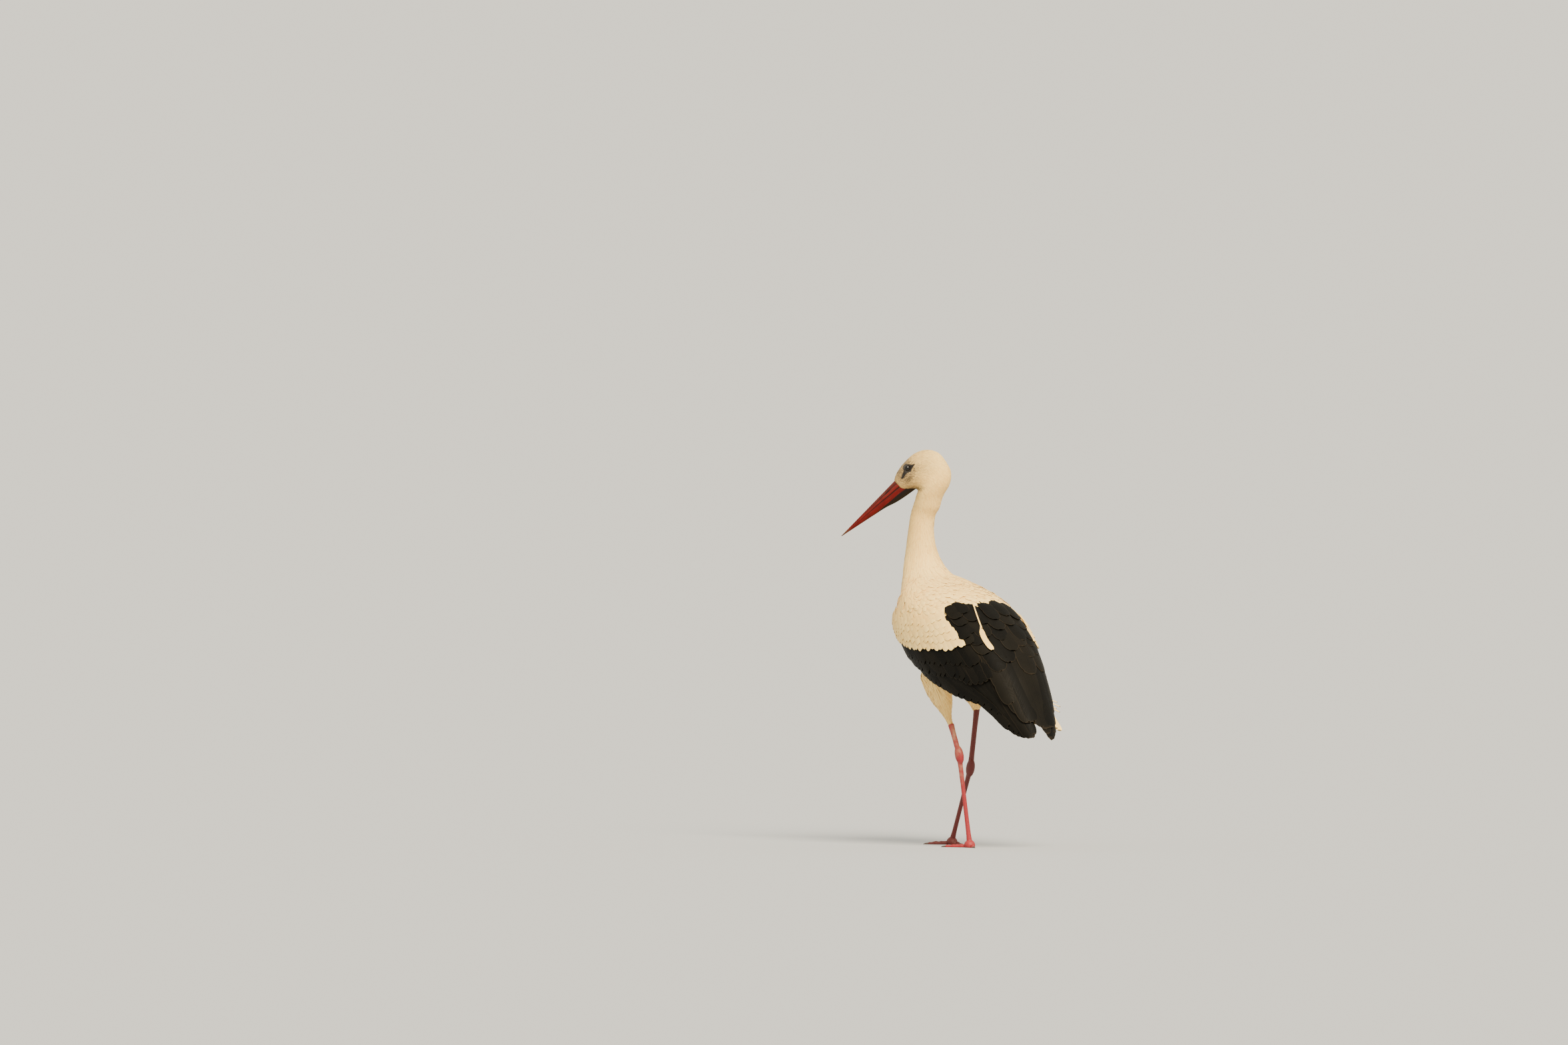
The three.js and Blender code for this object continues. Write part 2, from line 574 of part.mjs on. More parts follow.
function addLeg(name, { thigh, ankle, foot, toe_in }, bodyRoom) {
  const [joint, ground] = [ankle, foot].map((p) => place(...p));
  const knee = place(...thigh[thigh.length - 1]);
  const shinWay = joint.clone().sub(knee).normalize();
  const tarsusWay = ground.clone().sub(joint).normalize();
  const meanWay = shinWay.clone().add(tarsusWay).normalize();
  const jointRoom = ankleSolid(joint, meanWay, GAP);
  const thighBody = thighSolid(thigh).subtract(bodyRoom);
  addPiece("thigh_" + name, pieceAt(thighBody, knee.clone().addScaledVector(shinWay, -6)),
    "white_plumage");
  const shin = limb(knee.clone().addScaledVector(shinWay, -4), joint, SHIN_RADII)
    .subtract(jointRoom).subtract(thighSolid(thigh, GAP));
  addPiece("shin_" + name, pieceAt(shin, knee.clone().lerp(joint, 0.4)), "leg_skin");
  addPiece("ankle_" + name, ankleSolid(joint, meanWay), "leg_skin");
  const sole = ground.clone().setZ(0);
  const tarsus = limb(joint, ground.clone().setZ(FOOT_PAD.high / 2), TARSUS_RADII, 8, 5)
    .subtract(jointRoom).subtract(footPad(sole, place(1, 0, 0), GAP));
  addPiece("tarsus_" + name, pieceAt(tarsus, joint.clone().lerp(ground, 0.5)), "leg_skin");
  addFoot(name, sole, name === "left" ? 1 : -1, toe_in);
}

// ---- the whole bird -----------------------------------------------------------------------
const trunkRoom = trunkSolid(GAP);
addNeckAndHead();
Object.entries(WINGS).forEach(([name, wing]) => addWing(name, wing, trunkRoom));
const bodyRoom = Object.values(WINGS)
  .reduce((room, wing) => room.add(wingSlab(wing, GAP)), trunkRoom);
addTail(bodyRoom);
Object.entries(LEGS).forEach(([name, leg]) => addLeg(name, leg, bodyRoom));

const bounds = new THREE.Box3().setFromObject(bird);
bird.position.set(-(bounds.min.x + bounds.max.x) / 2, -(bounds.min.y + bounds.max.y) / 2,
  -bounds.min.z);

export default stork;
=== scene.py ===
"""A white stork in mid-stride, life size: its skin, plumage, bill, eyes and legs.

Shapes are worked out in millimetres in the bird's own frame, x to its left, y to its rear and z
up, and moved into the model's frame when a piece is made. Places on the folded wings and on the
back are (t, angle): t runs down the slanting body axis from the breast to the wing tips, and the
angle runs round the body from the middle of the back, 0 degrees, to the belly, 180 degrees.
"""

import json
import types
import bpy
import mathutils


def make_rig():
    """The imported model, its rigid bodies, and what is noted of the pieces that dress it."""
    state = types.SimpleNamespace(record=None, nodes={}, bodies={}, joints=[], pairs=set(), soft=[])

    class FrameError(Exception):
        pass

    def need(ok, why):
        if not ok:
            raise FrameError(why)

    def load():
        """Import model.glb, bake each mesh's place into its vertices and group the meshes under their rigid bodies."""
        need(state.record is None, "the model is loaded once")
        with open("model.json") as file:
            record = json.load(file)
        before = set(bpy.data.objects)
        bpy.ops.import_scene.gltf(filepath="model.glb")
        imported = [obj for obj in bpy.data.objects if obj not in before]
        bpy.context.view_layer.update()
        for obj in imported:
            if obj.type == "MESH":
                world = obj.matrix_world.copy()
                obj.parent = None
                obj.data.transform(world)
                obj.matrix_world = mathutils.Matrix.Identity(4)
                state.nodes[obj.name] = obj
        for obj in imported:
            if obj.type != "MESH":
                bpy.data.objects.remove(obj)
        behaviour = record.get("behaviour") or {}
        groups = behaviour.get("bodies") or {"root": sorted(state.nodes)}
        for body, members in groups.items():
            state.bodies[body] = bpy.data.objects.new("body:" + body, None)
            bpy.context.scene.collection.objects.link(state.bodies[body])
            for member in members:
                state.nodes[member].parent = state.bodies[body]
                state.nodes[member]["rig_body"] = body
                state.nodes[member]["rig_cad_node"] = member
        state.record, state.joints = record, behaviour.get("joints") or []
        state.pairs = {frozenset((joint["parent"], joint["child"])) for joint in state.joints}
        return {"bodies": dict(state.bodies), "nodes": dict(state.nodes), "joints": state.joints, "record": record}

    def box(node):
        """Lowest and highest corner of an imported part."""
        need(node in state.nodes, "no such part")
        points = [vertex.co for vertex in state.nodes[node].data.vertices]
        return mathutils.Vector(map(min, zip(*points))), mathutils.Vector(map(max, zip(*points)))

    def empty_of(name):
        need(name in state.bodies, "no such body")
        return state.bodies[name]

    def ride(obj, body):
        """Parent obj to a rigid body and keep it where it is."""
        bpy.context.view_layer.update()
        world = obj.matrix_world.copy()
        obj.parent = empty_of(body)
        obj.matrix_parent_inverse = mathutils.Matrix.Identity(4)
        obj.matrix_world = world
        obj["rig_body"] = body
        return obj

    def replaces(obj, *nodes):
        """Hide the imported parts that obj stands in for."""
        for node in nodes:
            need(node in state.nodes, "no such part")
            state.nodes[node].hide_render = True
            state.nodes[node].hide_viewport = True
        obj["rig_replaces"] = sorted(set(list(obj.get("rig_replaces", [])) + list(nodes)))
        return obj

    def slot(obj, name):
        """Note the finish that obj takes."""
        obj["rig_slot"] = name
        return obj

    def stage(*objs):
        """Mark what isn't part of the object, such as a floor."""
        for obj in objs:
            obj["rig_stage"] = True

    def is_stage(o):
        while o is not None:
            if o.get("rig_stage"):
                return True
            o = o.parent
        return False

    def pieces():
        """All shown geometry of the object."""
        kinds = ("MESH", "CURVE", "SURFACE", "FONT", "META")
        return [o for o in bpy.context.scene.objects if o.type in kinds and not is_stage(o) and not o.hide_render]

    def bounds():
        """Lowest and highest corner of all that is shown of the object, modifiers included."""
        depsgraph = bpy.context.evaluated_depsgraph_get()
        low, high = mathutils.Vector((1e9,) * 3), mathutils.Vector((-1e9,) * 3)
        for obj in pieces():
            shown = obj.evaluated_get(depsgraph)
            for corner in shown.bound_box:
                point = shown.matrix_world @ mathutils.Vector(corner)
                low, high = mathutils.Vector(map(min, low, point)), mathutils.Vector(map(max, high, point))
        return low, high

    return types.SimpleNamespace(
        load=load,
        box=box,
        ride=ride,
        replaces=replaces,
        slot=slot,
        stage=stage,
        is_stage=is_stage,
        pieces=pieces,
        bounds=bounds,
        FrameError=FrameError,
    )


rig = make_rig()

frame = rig.load()
CAD_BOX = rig.bounds()

import json
import logging
from dataclasses import dataclass, field
from enum import IntEnum
from typing import ClassVar, Iterable, Sequence

import bpy
import numpy as np

Array = np.ndarray
Keys = Sequence[Sequence[float]]
Mesh = bpy.types.Mesh
Material = bpy.types.Material
LOG = logging.getLogger("stork")
METRES = 0.001  # metres in a millimetre
SEED = 20417


class Side(IntEnum):
    """A side of the bird; distances to its left grow towards LEFT."""

    LEFT = 1
    RIGHT = -1


# ---- numbers and curves ----
class Curve:
    """A smooth curve through [x, value] keys that never swings past a key."""

    def __init__(self, keys: Keys) -> None:
        """Works out the slope at each key, the harmonic mean of its neighbours' slopes."""
        self.x, self.y = np.array(keys, float).T
        step = np.diff(self.x)
        slope = np.diff(self.y) / step
        before, after = slope[:-1], slope[1:]
        with np.errstate(divide="ignore", invalid="ignore"):
            mean = 3 * (step[:-1] + step[1:]) / (
                (2 * step[1:] + step[:-1]) / before + (step[1:] + 2 * step[:-1]) / after
            )
        self.slope = np.concatenate([slope[:1], np.where(before * after > 0, mean, 0), slope[-1:]])

    def __call__(self, x: Array) -> Array:
        """The curve's value at x; beyond the first and last key it stays level."""
        x = np.clip(np.asarray(x, float), self.x[0], self.x[-1])
        i = np.clip(np.searchsorted(self.x, x, side="right") - 1, 0, len(self.x) - 2)
        span = self.x[i + 1] - self.x[i]
        s = (x - self.x[i]) / span
        return (
            (1 + 2 * s) * (1 - s) ** 2 * self.y[i]
            + s * (1 - s) ** 2 * span * self.slope[i]
            + s * s * (3 - 2 * s) * self.y[i + 1]
            + s * s * (s - 1) * span * self.slope[i + 1]
        )


def unit(v: Array) -> Array:
    """Vectors along the last axis, made one long."""
    return v / np.maximum(np.linalg.norm(v, axis=-1, keepdims=True), 1e-9)


def dot(a: Array, b: Array) -> Array:
    """The product of each vector with its partner."""
    return np.einsum("ij,ij->i", a, b)


def level_with(way: Array, normal: Array) -> Array:
    """Directions laid flat on the surface that has these normals."""
    return unit(way - dot(way, normal)[:, None] * normal)


def place(forward: Array, left: Array, up: Array) -> Array:
    """Points of the bird's frame from distances forward, to its left and up."""
    forward, left, up = np.broadcast_arrays(forward, left, up)
    return np.stack([left, -forward, up], -1).astype(float)


def smoothstep(x: Array, low: float, high: float) -> Array:
    """Rises smoothly from 0 at low to 1 at high."""
    s = np.clip((np.asarray(x, float) - low) / (high - low), 0, 1)
    return s * s * (3 - 2 * s)


def signed_power(x: Array, power: float) -> Array:
    """x to a power, keeping its sign."""
    return np.sign(x) * np.abs(x) ** power


# ---- the body's driving shapes ----
BODY_PITCH = np.radians(38)
BODY_CENTRE = (-40.0, 502.0)  # forward, up
AXIS_DOWN = (np.cos(BODY_PITCH), np.sin(BODY_PITCH))


@dataclass(frozen=True)
class BodySurface:
    """A surface round the slanting body axis.

    Its section at t is a rounded box: half width times sin(angle) to a power across, and the
    back's or the belly's reach times cos(angle) to a power out of the back.
    """

    width: Curve
    back: Curve
    belly: Curve
    back_power: float
    belly_power: float

    def point(self, t: Array, angle: Array, out: Array = 0.0) -> Array:
        """Points at t and angle (degrees), moved outwards by out millimetres."""
        s, c = np.sin(np.radians(angle)), np.cos(np.radians(angle))
        power = np.where(c > 0, self.back_power, self.belly_power)
        left = (self.width(t) + out) * signed_power(s, power)
        height = (np.where(c > 0, self.back(t), self.belly(t)) + out) * signed_power(c, power)
        return on_axis(t, left, height)

    def place_of(self, points: Array) -> tuple[Array, Array, Array]:
        """t, angle and the share of the way out to the surface for points of the bird."""
        forward, left, up = -points[..., 1], points[..., 0], points[..., 2]
        ahead, rise = forward - BODY_CENTRE[0], up - BODY_CENTRE[1]
        t = -(ahead * AXIS_DOWN[0] + rise * AXIS_DOWN[1])
        height = -ahead * AXIS_DOWN[1] + rise * AXIS_DOWN[0]
        power = np.where(height > 0, self.back_power, self.belly_power)
        across = (np.abs(left) / self.width(t)) ** (1 / power)
        tall = (np.abs(height) / np.where(height > 0, self.back(t), self.belly(t))) ** (1 / power)
        angle = np.degrees(np.arctan2(np.sign(left) * across, np.sign(height) * tall))
        return t, angle, np.hypot(across, tall)

    def per_mm(self, t: Array, angle: Array) -> Array:
        """Degrees round the body in a millimetre across."""
        step = 1.0
        ahead, behind = self.point(t, angle + step), self.point(t, angle - step)
        return 2 * step / np.linalg.norm(ahead - behind, axis=-1)


def on_axis(t: Array, left: Array, height: Array) -> Array:
    """Points at t along the body axis, to the left of it and out of the back."""
    return place(
        BODY_CENTRE[0] - t * AXIS_DOWN[0] - height * AXIS_DOWN[1],
        left,
        BODY_CENTRE[1] - t * AXIS_DOWN[1] + height * AXIS_DOWN[0],
    )


WINGS = BodySurface(
    width=Curve([[-190, 78], [-145, 111], [-100, 126], [-40, 133], [40, 131], [110, 123],
                 [180, 110], [240, 95], [300, 78], [350, 62], [400, 44], [416, 34]]),
    back=Curve([[-190, 50], [-145, 66], [-108, 80], [-36, 107], [43, 124], [120, 122], [187, 109],
                [250, 90], [300, 70], [350, 48], [400, 24], [416, 12]]),
    belly=Curve([[-190, 100], [-100, 125], [0, 132], [110, 122], [200, 100], [300, 60], [416, 36]]),
    back_power=0.84,
    belly_power=0.82,
)
WING_LOWER_RIM = Curve([[-164, 98], [-144, 101], [-112, 106], [-71, 115], [-38, 122.5], [0, 127],
                        [40, 128], [80, 125], [136, 117], [195, 108], [248, 98]])
# Where the white feathers of the back and shoulders end, as [degrees round the body, t]; the
# bird's left is positive.
WHITE_EDGE = Curve([[-127, -98], [-119, -72], [-110, -33], [-99, 10], [-88, 55], [-79, 95],
                    [-64, 130], [-54, 146], [-44, 150], [-38, 148], [-35, 110], [-33, 40], [-27, 25],
                    [-16, 22], [-4, 20], [0, 28], [5, 42], [10, 56], [16.5, 32], [20, 28], [25, 16],
                    [30, 2], [37.5, 3], [45.5, 0], [49, 34], [52.5, 60], [55.5, 112], [58.5, 124],
                    [61, 114], [72, 106], [77, 96], [84, 71], [88, 52], [99, 10], [110, -33],
                    [119, -72], [127, -98]])

HEAD_TURN = np.radians(55)
HEAD_AT = (60.1, -42.1)  # forward and left where "out" is zero
HEAD_AHEAD = place(np.cos(HEAD_TURN), np.sin(HEAD_TURN), 0)
HEAD_LEFT = place(-np.sin(HEAD_TURN), np.cos(HEAD_TURN), 0)
UP = np.array([0.0, 0.0, 1.0])


def on_head(out: Array, up: Array, left: Array = 0.0) -> Array:
    """Points by the head's own upright plane: out along it, up, and to the head's left."""
    out, up, left = np.broadcast_arrays(out, up, left)
    level = place(HEAD_AT[0], HEAD_AT[1], 0)
    return level + out[..., None] * HEAD_AHEAD + left[..., None] * HEAD_LEFT + up[..., None] * UP


@dataclass(frozen=True)
class Eye:
    """The eyeballs' size and place in the head's plane."""

    out: float = 112.9
    up: float = 900.2
    radius: float = 8.2
    aside: float = 19.5

    def centre(self, side: Side) -> Array:
        """The middle of the eye on that side of the head."""
        return on_head(self.out, self.up, side * self.aside)


EYE = Eye()


def model_shift() -> Array:
    """How far the bird's own frame is moved to lie in the model's frame, in millimetres."""
    low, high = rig.box("eye_left")
    return (np.array(low) + np.array(high)) / 2 / METRES - EYE.centre(Side.LEFT)


SHIFT = model_shift()


# ---- meshes ----
@dataclass
class Shape:
    """Points with their faces and, for a feather, the place of each point on its vane."""

    points: Array
    quads: Array
    tris: Array = field(default_factory=lambda: np.zeros((0, 3), int))
    vane: Array | None = None  # (along, across) on the feather, or any pattern's own map
    bake: Array | None = None  # the place on the baked map
    facing: Array | None = None  # which way each point of a feather's top side looks
    marks: dict[str, Array] = field(default_factory=dict)  # numbers that the finishes read

    @staticmethod
    def joined(shapes: Iterable["Shape"]) -> "Shape":
        """One shape holding all of them."""
        shapes = list(shapes)
        starts = np.cumsum([0] + [len(s.points) for s in shapes[:-1]])

        def stack(name: str) -> Array | None:
            """One map of all shapes, or nothing where they have none."""
            values = [getattr(s, name) for s in shapes]
            return None if values[0] is None else np.concatenate(values)

        return Shape(
            np.concatenate([s.points for s in shapes]),
            np.concatenate([s.quads + i for s, i in zip(shapes, starts)]),
            np.concatenate([s.tris + i for s, i in zip(shapes, starts)]),
            stack("vane"), stack("bake"), stack("facing"),
            {key: np.concatenate([s.marks[key] for s in shapes]) for key in shapes[0].marks},
        )


def grid_quads(rows: int, columns: int, around: bool = False) -> Array:
    """The faces of a grid of points held row by row; around joins its last column to its first."""
    i = np.arange(rows - 1)[:, None] * columns
    j = np.arange(columns if around else columns - 1)[None, :]
    k = (j + 1) % columns
    return np.stack([i + j, i + k, i + columns + k, i + columns + j], -1).reshape(-1, 4)


def tube(rings: Array) -> Shape:
    """A closed solid skinned over rings of points (rows, sides, 3), with a point at each end."""
    rows, sides, _ = rings.shape
    points = np.concatenate([rings.reshape(-1, 3), rings[:1].mean(1), rings[-1:].mean(1)])
    j = np.arange(sides)
    k = (j + 1) % sides
    first, last = rows * sides, rows * sides + 1
    caps = np.concatenate([
        np.stack([k, j, np.full(sides, first)], -1),
        np.stack([(rows - 1) * sides + j, (rows - 1) * sides + k, np.full(sides, last)], -1),
    ])
    shape = Shape(points, grid_quads(rows, sides, around=True), caps)
    a, b, c = (points[shape.quads[:, n]] for n in range(3))
    if np.einsum("ij,ij->", np.cross(b - a, c - a), (a + b + c) / 3 - points.mean(0)) < 0:
        shape.quads, shape.tris = shape.quads[:, ::-1], shape.tris[:, ::-1]
    return shape


def ellipse_rings(centre: Array, a: Array, b: Array, sides: int,
                  power: Array | float = 1.0) -> Array:
    """Rings centre + a cos + b sin, with sines and cosines taken to a power that squares them."""
    angle = np.linspace(0, 2 * np.pi, sides, endpoint=False)
    power = np.broadcast_to(power, len(centre))[:, None]
    c, s = signed_power(np.cos(angle), power), signed_power(np.sin(angle), power)
    return centre[:, None] + c[..., None] * a[:, None] + s[..., None] * b[:, None]


def spline_rows(rows: Array, count: int) -> Array:
    """A table's rows carried smoothly to count rows, by a cubic through each column."""
    x = np.linspace(0, len(rows) - 1, count)
    i = np.clip(x.astype(int), 0, len(rows) - 2)
    s = (x - i)[:, None]
    padded = np.concatenate([2 * rows[:1] - rows[1:2], rows, 2 * rows[-1:] - rows[-2:-1]])
    p0, p1, p2, p3 = (padded[i + n] for n in range(4))
    return p1 + s / 2 * (p2 - p0 + s * (2 * p0 - 5 * p1 + 4 * p2 - p3 + s * (3 * (p1 - p2) + p3 - p0)))


def mesh_of(name: str, shape: Shape) -> Mesh:
    """A mesh in the model's frame, with its maps and attributes."""
    mesh = bpy.data.meshes.new(name)
    corners = np.concatenate([shape.quads.ravel(), shape.tris.ravel()]).astype(np.int32)
    starts = np.concatenate([np.arange(len(shape.quads)) * 4,
                             4 * len(shape.quads) + np.arange(len(shape.tris)) * 3])
    mesh.vertices.add(len(shape.points))
    placed = (shape.points + SHIFT) * METRES
    mesh.vertices.foreach_set("co", placed.astype(np.float32).ravel())
    mesh.loops.add(len(corners))
    mesh.loops.foreach_set("vertex_index", corners)
    mesh.polygons.add(len(starts))
    mesh.polygons.foreach_set("loop_start", starts.astype(np.int32))
    mesh.update(calc_edges=True)
    mesh.shade_smooth()
    for title, values in (("OFBake", shape.bake), ("Vane", shape.vane)):
        if values is not None:
            layer = mesh.uv_layers.new(name=title)
            layer.data.foreach_set("uv", values[corners].astype(np.float32).ravel())
    mark(mesh, shape.marks)
    if shape.facing is not None:
        mesh.normals_split_custom_set(soft_normals(shape))
    return mesh


def soft_normals(shape: Shape) -> Array:
    """Normals for the face corners of feathers that blend into the coat that they lie in.

    A corner takes its point's own facing, and the opposite of it where the face looks back into
    the coat.
    """
    normals = []
    for faces in (shape.quads, shape.tris):
        a, b, c = (shape.points[faces[:, n]] for n in (0, 1, -1))
        flat = unit(np.cross(b - a, c - a))
        facing = shape.facing[faces]
        side = np.einsum("ij,ikj->ik", flat, facing)
        normals.append(np.where(side[..., None] < -0.3, -facing, facing).reshape(-1, 3))
    return np.concatenate(normals)


def mark(mesh: Mesh, marks: dict[str, Array]) -> None:
    """Writes one number for each point under each name."""
    for title, values in marks.items():
        attribute = mesh.attributes.new(title, "FLOAT", "POINT")
        attribute.data.foreach_set("value", values.astype(np.float32))


def show(item: bpy.types.Object) -> bpy.types.Object:
    """Puts an object into the scene."""
    bpy.context.scene.collection.objects.link(item)
    return item


def add_piece(name: str, mesh: Mesh, material: Material, slot: str,
              *replaced: str) -> bpy.types.Object:
    """Shows a mesh as a piece of the bird.

    Args:
        name: the piece's name.
        mesh: its mesh, in the model's frame.
        material: its finish.
        slot: the record's material slot that it stands for.
        replaced: the model's nodes that it stands for.

    Returns:
        The new object.
    """
    piece = show(bpy.data.objects.new(name, mesh))
    mesh.materials.clear()
    mesh.materials.append(material)
    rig.ride(piece, "root")
    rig.slot(piece, slot)
    if replaced:
        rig.replaces(piece, *replaced)
    LOG.info("%s: %d faces", name, len(mesh.polygons))
    return piece


def fused(name: str, shapes: Iterable[Shape], cell: float, rounds: int) -> Mesh:
    """Closed shapes fused into one skin of even faces and smoothed.

    Args:
        name: the mesh's name.
        shapes: closed solids that overlap where they join.
        cell: the size of the skin's faces, in millimetres.
        rounds: how often it is smoothed.

    Returns:
        The new mesh.
    """
    source = show(bpy.data.objects.new(name, mesh_of(name, Shape.joined(shapes))))
    remesh = source.modifiers.new("fuse", "REMESH")
    remesh.mode = "VOXEL"
    remesh.voxel_size = cell * METRES
    smooth = source.modifiers.new("smooth", "SMOOTH")
    smooth.factor = 0.5
    smooth.iterations = rounds
    evaluated = source.evaluated_get(bpy.context.evaluated_depsgraph_get())
    mesh = bpy.data.meshes.new_from_object(evaluated)
    mesh.name = name
    bpy.data.objects.remove(source)
    mesh.shade_smooth()
    return mesh


def read_points(mesh: Mesh) -> Array:
    """A mesh's points in the bird's own frame."""
    points = np.empty(len(mesh.vertices) * 3, np.float32)
    mesh.vertices.foreach_get("co", points)
    return points.reshape(-1, 3).astype(float) / METRES - SHIFT


def write_points(mesh: Mesh, points: Array) -> None:
    """Moves a mesh's points to places in the bird's own frame."""
    mesh.vertices.foreach_set("co", ((points + SHIFT) * METRES).astype(np.float32).ravel())
    mesh.update()


def read_normals(mesh: Mesh, rounds: int = 0) -> Array:
    """The normals at a mesh's points, each made even with its neighbours' in a few rounds.

    A round sets each normal to the mean of itself and those that it shares an edge with.
    """
    normals = np.empty(len(mesh.vertices) * 3, np.float32)
    mesh.vertices.foreach_get("normal", normals)
    normals = normals.reshape(-1, 3).astype(float)
    ends = np.empty(len(mesh.edges) * 2, np.int32)
    mesh.edges.foreach_get("vertices", ends)
    first, second = ends.reshape(-1, 2).T
    for _ in range(rounds):
        total = normals.copy()
        np.add.at(total, first, normals[second])
        np.add.at(total, second, normals[first])
        normals = unit(total)
    return normals


# ---- finishes ----
Socket = bpy.types.NodeSocket
Colour = tuple[float, float, float, float]


def ink(code: str) -> Colour:
    """A colour from its six-digit screen code."""
    screen = np.array([int(code[i:i + 2], 16) for i in (0, 2, 4)]) / 255
    linear = np.where(screen < 0.04045, screen / 12.92, ((screen + 0.055) / 1.055) ** 2.4)
    return (*(float(v) for v in linear), 1.0)


class Graph:
    """Short calls that build a material's nodes."""

    def __init__(self, name: str, roughness: float, **shine: float) -> None:
        """Starts a material; shine gives numbers for the shader's own sockets."""
        self.material = bpy.data.materials.new(name)
        self.material.use_nodes = True
        tree = self.material.node_tree
        self.nodes, self.links = tree.nodes, tree.links
        self.surface = next(n for n in self.nodes if n.type == "BSDF_PRINCIPLED")
        self.surface.inputs["Roughness"].default_value = roughness
        for title, value in shine.items():
            self.surface.inputs[title.replace("_", " ")].default_value = value

    def feed(self, socket: Socket, value: Socket | float | Sequence[float]) -> None:
        """Links a socket to another one, or gives it a constant."""
        if isinstance(value, bpy.types.NodeSocket):
            self.links.new(value, socket)
        else:
            socket.default_value = value

    def math(self, operation: str, a: Socket | float, b: Socket | float = 0.0) -> Socket:
        """One step of arithmetic."""
        node = self.nodes.new("ShaderNodeMath")
        node.operation = operation
        self.feed(node.inputs[0], a)
        self.feed(node.inputs[1], b)
        return node.outputs[0]

    def times(self, a: Socket | float, b: Socket | float) -> Socket:
        """A product."""
        return self.math("MULTIPLY", a, b)

    def plus(self, a: Socket | float, b: Socket | float) -> Socket:
        """A sum."""
        return self.math("ADD", a, b)

    def between(self, value: Socket, low: float, high: float, out_low: float = 0.0,
                out_high: float = 1.0) -> Socket:
        """Carries a value from one range to another, smoothly and without passing its ends."""
        node = self.nodes.new("ShaderNodeMapRange")
        node.interpolation_type = "SMOOTHSTEP"
        self.feed(node.inputs["Value"], value)
        for title, number in (("From Min", low), ("From Max", high), ("To Min", out_low),
                              ("To Max", out_high)):
            node.inputs[title].default_value = number
        return node.outputs["Result"]

    def mix(self, share: Socket | float, a: Socket | Colour, b: Socket | Colour,
            blend: str = "MIX") -> Socket:
        """Blends two colours."""
        node = self.nodes.new("ShaderNodeMix")
        node.data_type, node.blend_type = "RGBA", blend
        inputs = {s.identifier: s for s in node.inputs}
        self.feed(inputs["Factor_Float"], share)
        self.feed(inputs["A_Color"], a)
        self.feed(inputs["B_Color"], b)
        return next(s for s in node.outputs if s.identifier == "Result_Color")

    def mark(self, name: str) -> Socket:
        """A number that the mesh holds at each point."""
        node = self.nodes.new("ShaderNodeAttribute")
        node.attribute_name = name
        return node.outputs["Fac"]

    def vane(self) -> tuple[Socket, Socket]:
        """How far along and across its feather, or other pattern, a place lies."""
        node = self.nodes.new("ShaderNodeUVMap")
        node.uv_map = "Vane"
        parts = self.nodes.new("ShaderNodeSeparateXYZ")
        self.links.new(node.outputs[0], parts.inputs[0])
        return parts.outputs[0], parts.outputs[1]

    def vector(self, x: Socket | float, y: Socket | float, z: Socket | float = 0.0) -> Socket:
        """A vector from three numbers."""
        node = self.nodes.new("ShaderNodeCombineXYZ")
        for socket, value in zip(node.inputs, (x, y, z)):
            self.feed(socket, value)
        return node.outputs[0]

    def noise(self, scale: float, detail: float = 2.0, at: Socket | None = None,
              stretch: Sequence[float] = (1, 1, 1)) -> Socket:
        """Cloudy noise from 0 to 1, in the model's own place unless at is given."""
        if at is None:
            at = self.nodes.new("ShaderNodeTexCoord").outputs["Object"]
        mapping = self.nodes.new("ShaderNodeMapping")
        mapping.inputs["Scale"].default_value = stretch
        self.links.new(at, mapping.inputs["Vector"])
        node = self.nodes.new("ShaderNodeTexNoise")
        node.inputs["Scale"].default_value = scale
        node.inputs["Detail"].default_value = detail
        self.links.new(mapping.outputs[0], node.inputs["Vector"])
        return node.outputs[0]

    def cells(self, scale: float) -> Socket:
        """How far inside its cell a place lies, in a net of many-sided cells over the model."""
        node = self.nodes.new("ShaderNodeTexVoronoi")
        node.feature = "DISTANCE_TO_EDGE"
        node.inputs["Scale"].default_value = scale
        self.links.new(self.nodes.new("ShaderNodeTexCoord").outputs["Object"],
                       node.inputs["Vector"])
        return node.outputs["Distance"]

    def finish(self, colour: Socket | Colour, bump: Socket | None = None, strength: float = 0.2,
               depth: float = 0.0005, roughness: Socket | None = None) -> Material:
        """Gives the shader its colour and, if wanted, its relief.

        Args:
            colour: the base colour.
            bump: the height of the relief, from 0 to 1.
            strength: how strongly the relief shows.
            depth: the relief's full height in metres.
            roughness: a roughness that varies from place to place.

        Returns:
            The finished material.
        """
        self.feed(self.surface.inputs["Base Color"], colour)
        if roughness is not None:
            self.feed(self.surface.inputs["Roughness"], roughness)
        if bump is not None:
            node = self.nodes.new("ShaderNodeBump")
            node.inputs["Strength"].default_value = strength
            node.inputs["Distance"].default_value = depth
            self.links.new(bump, node.inputs["Height"])
            self.links.new(node.outputs[0], self.surface.inputs["Normal"])
        return self.material


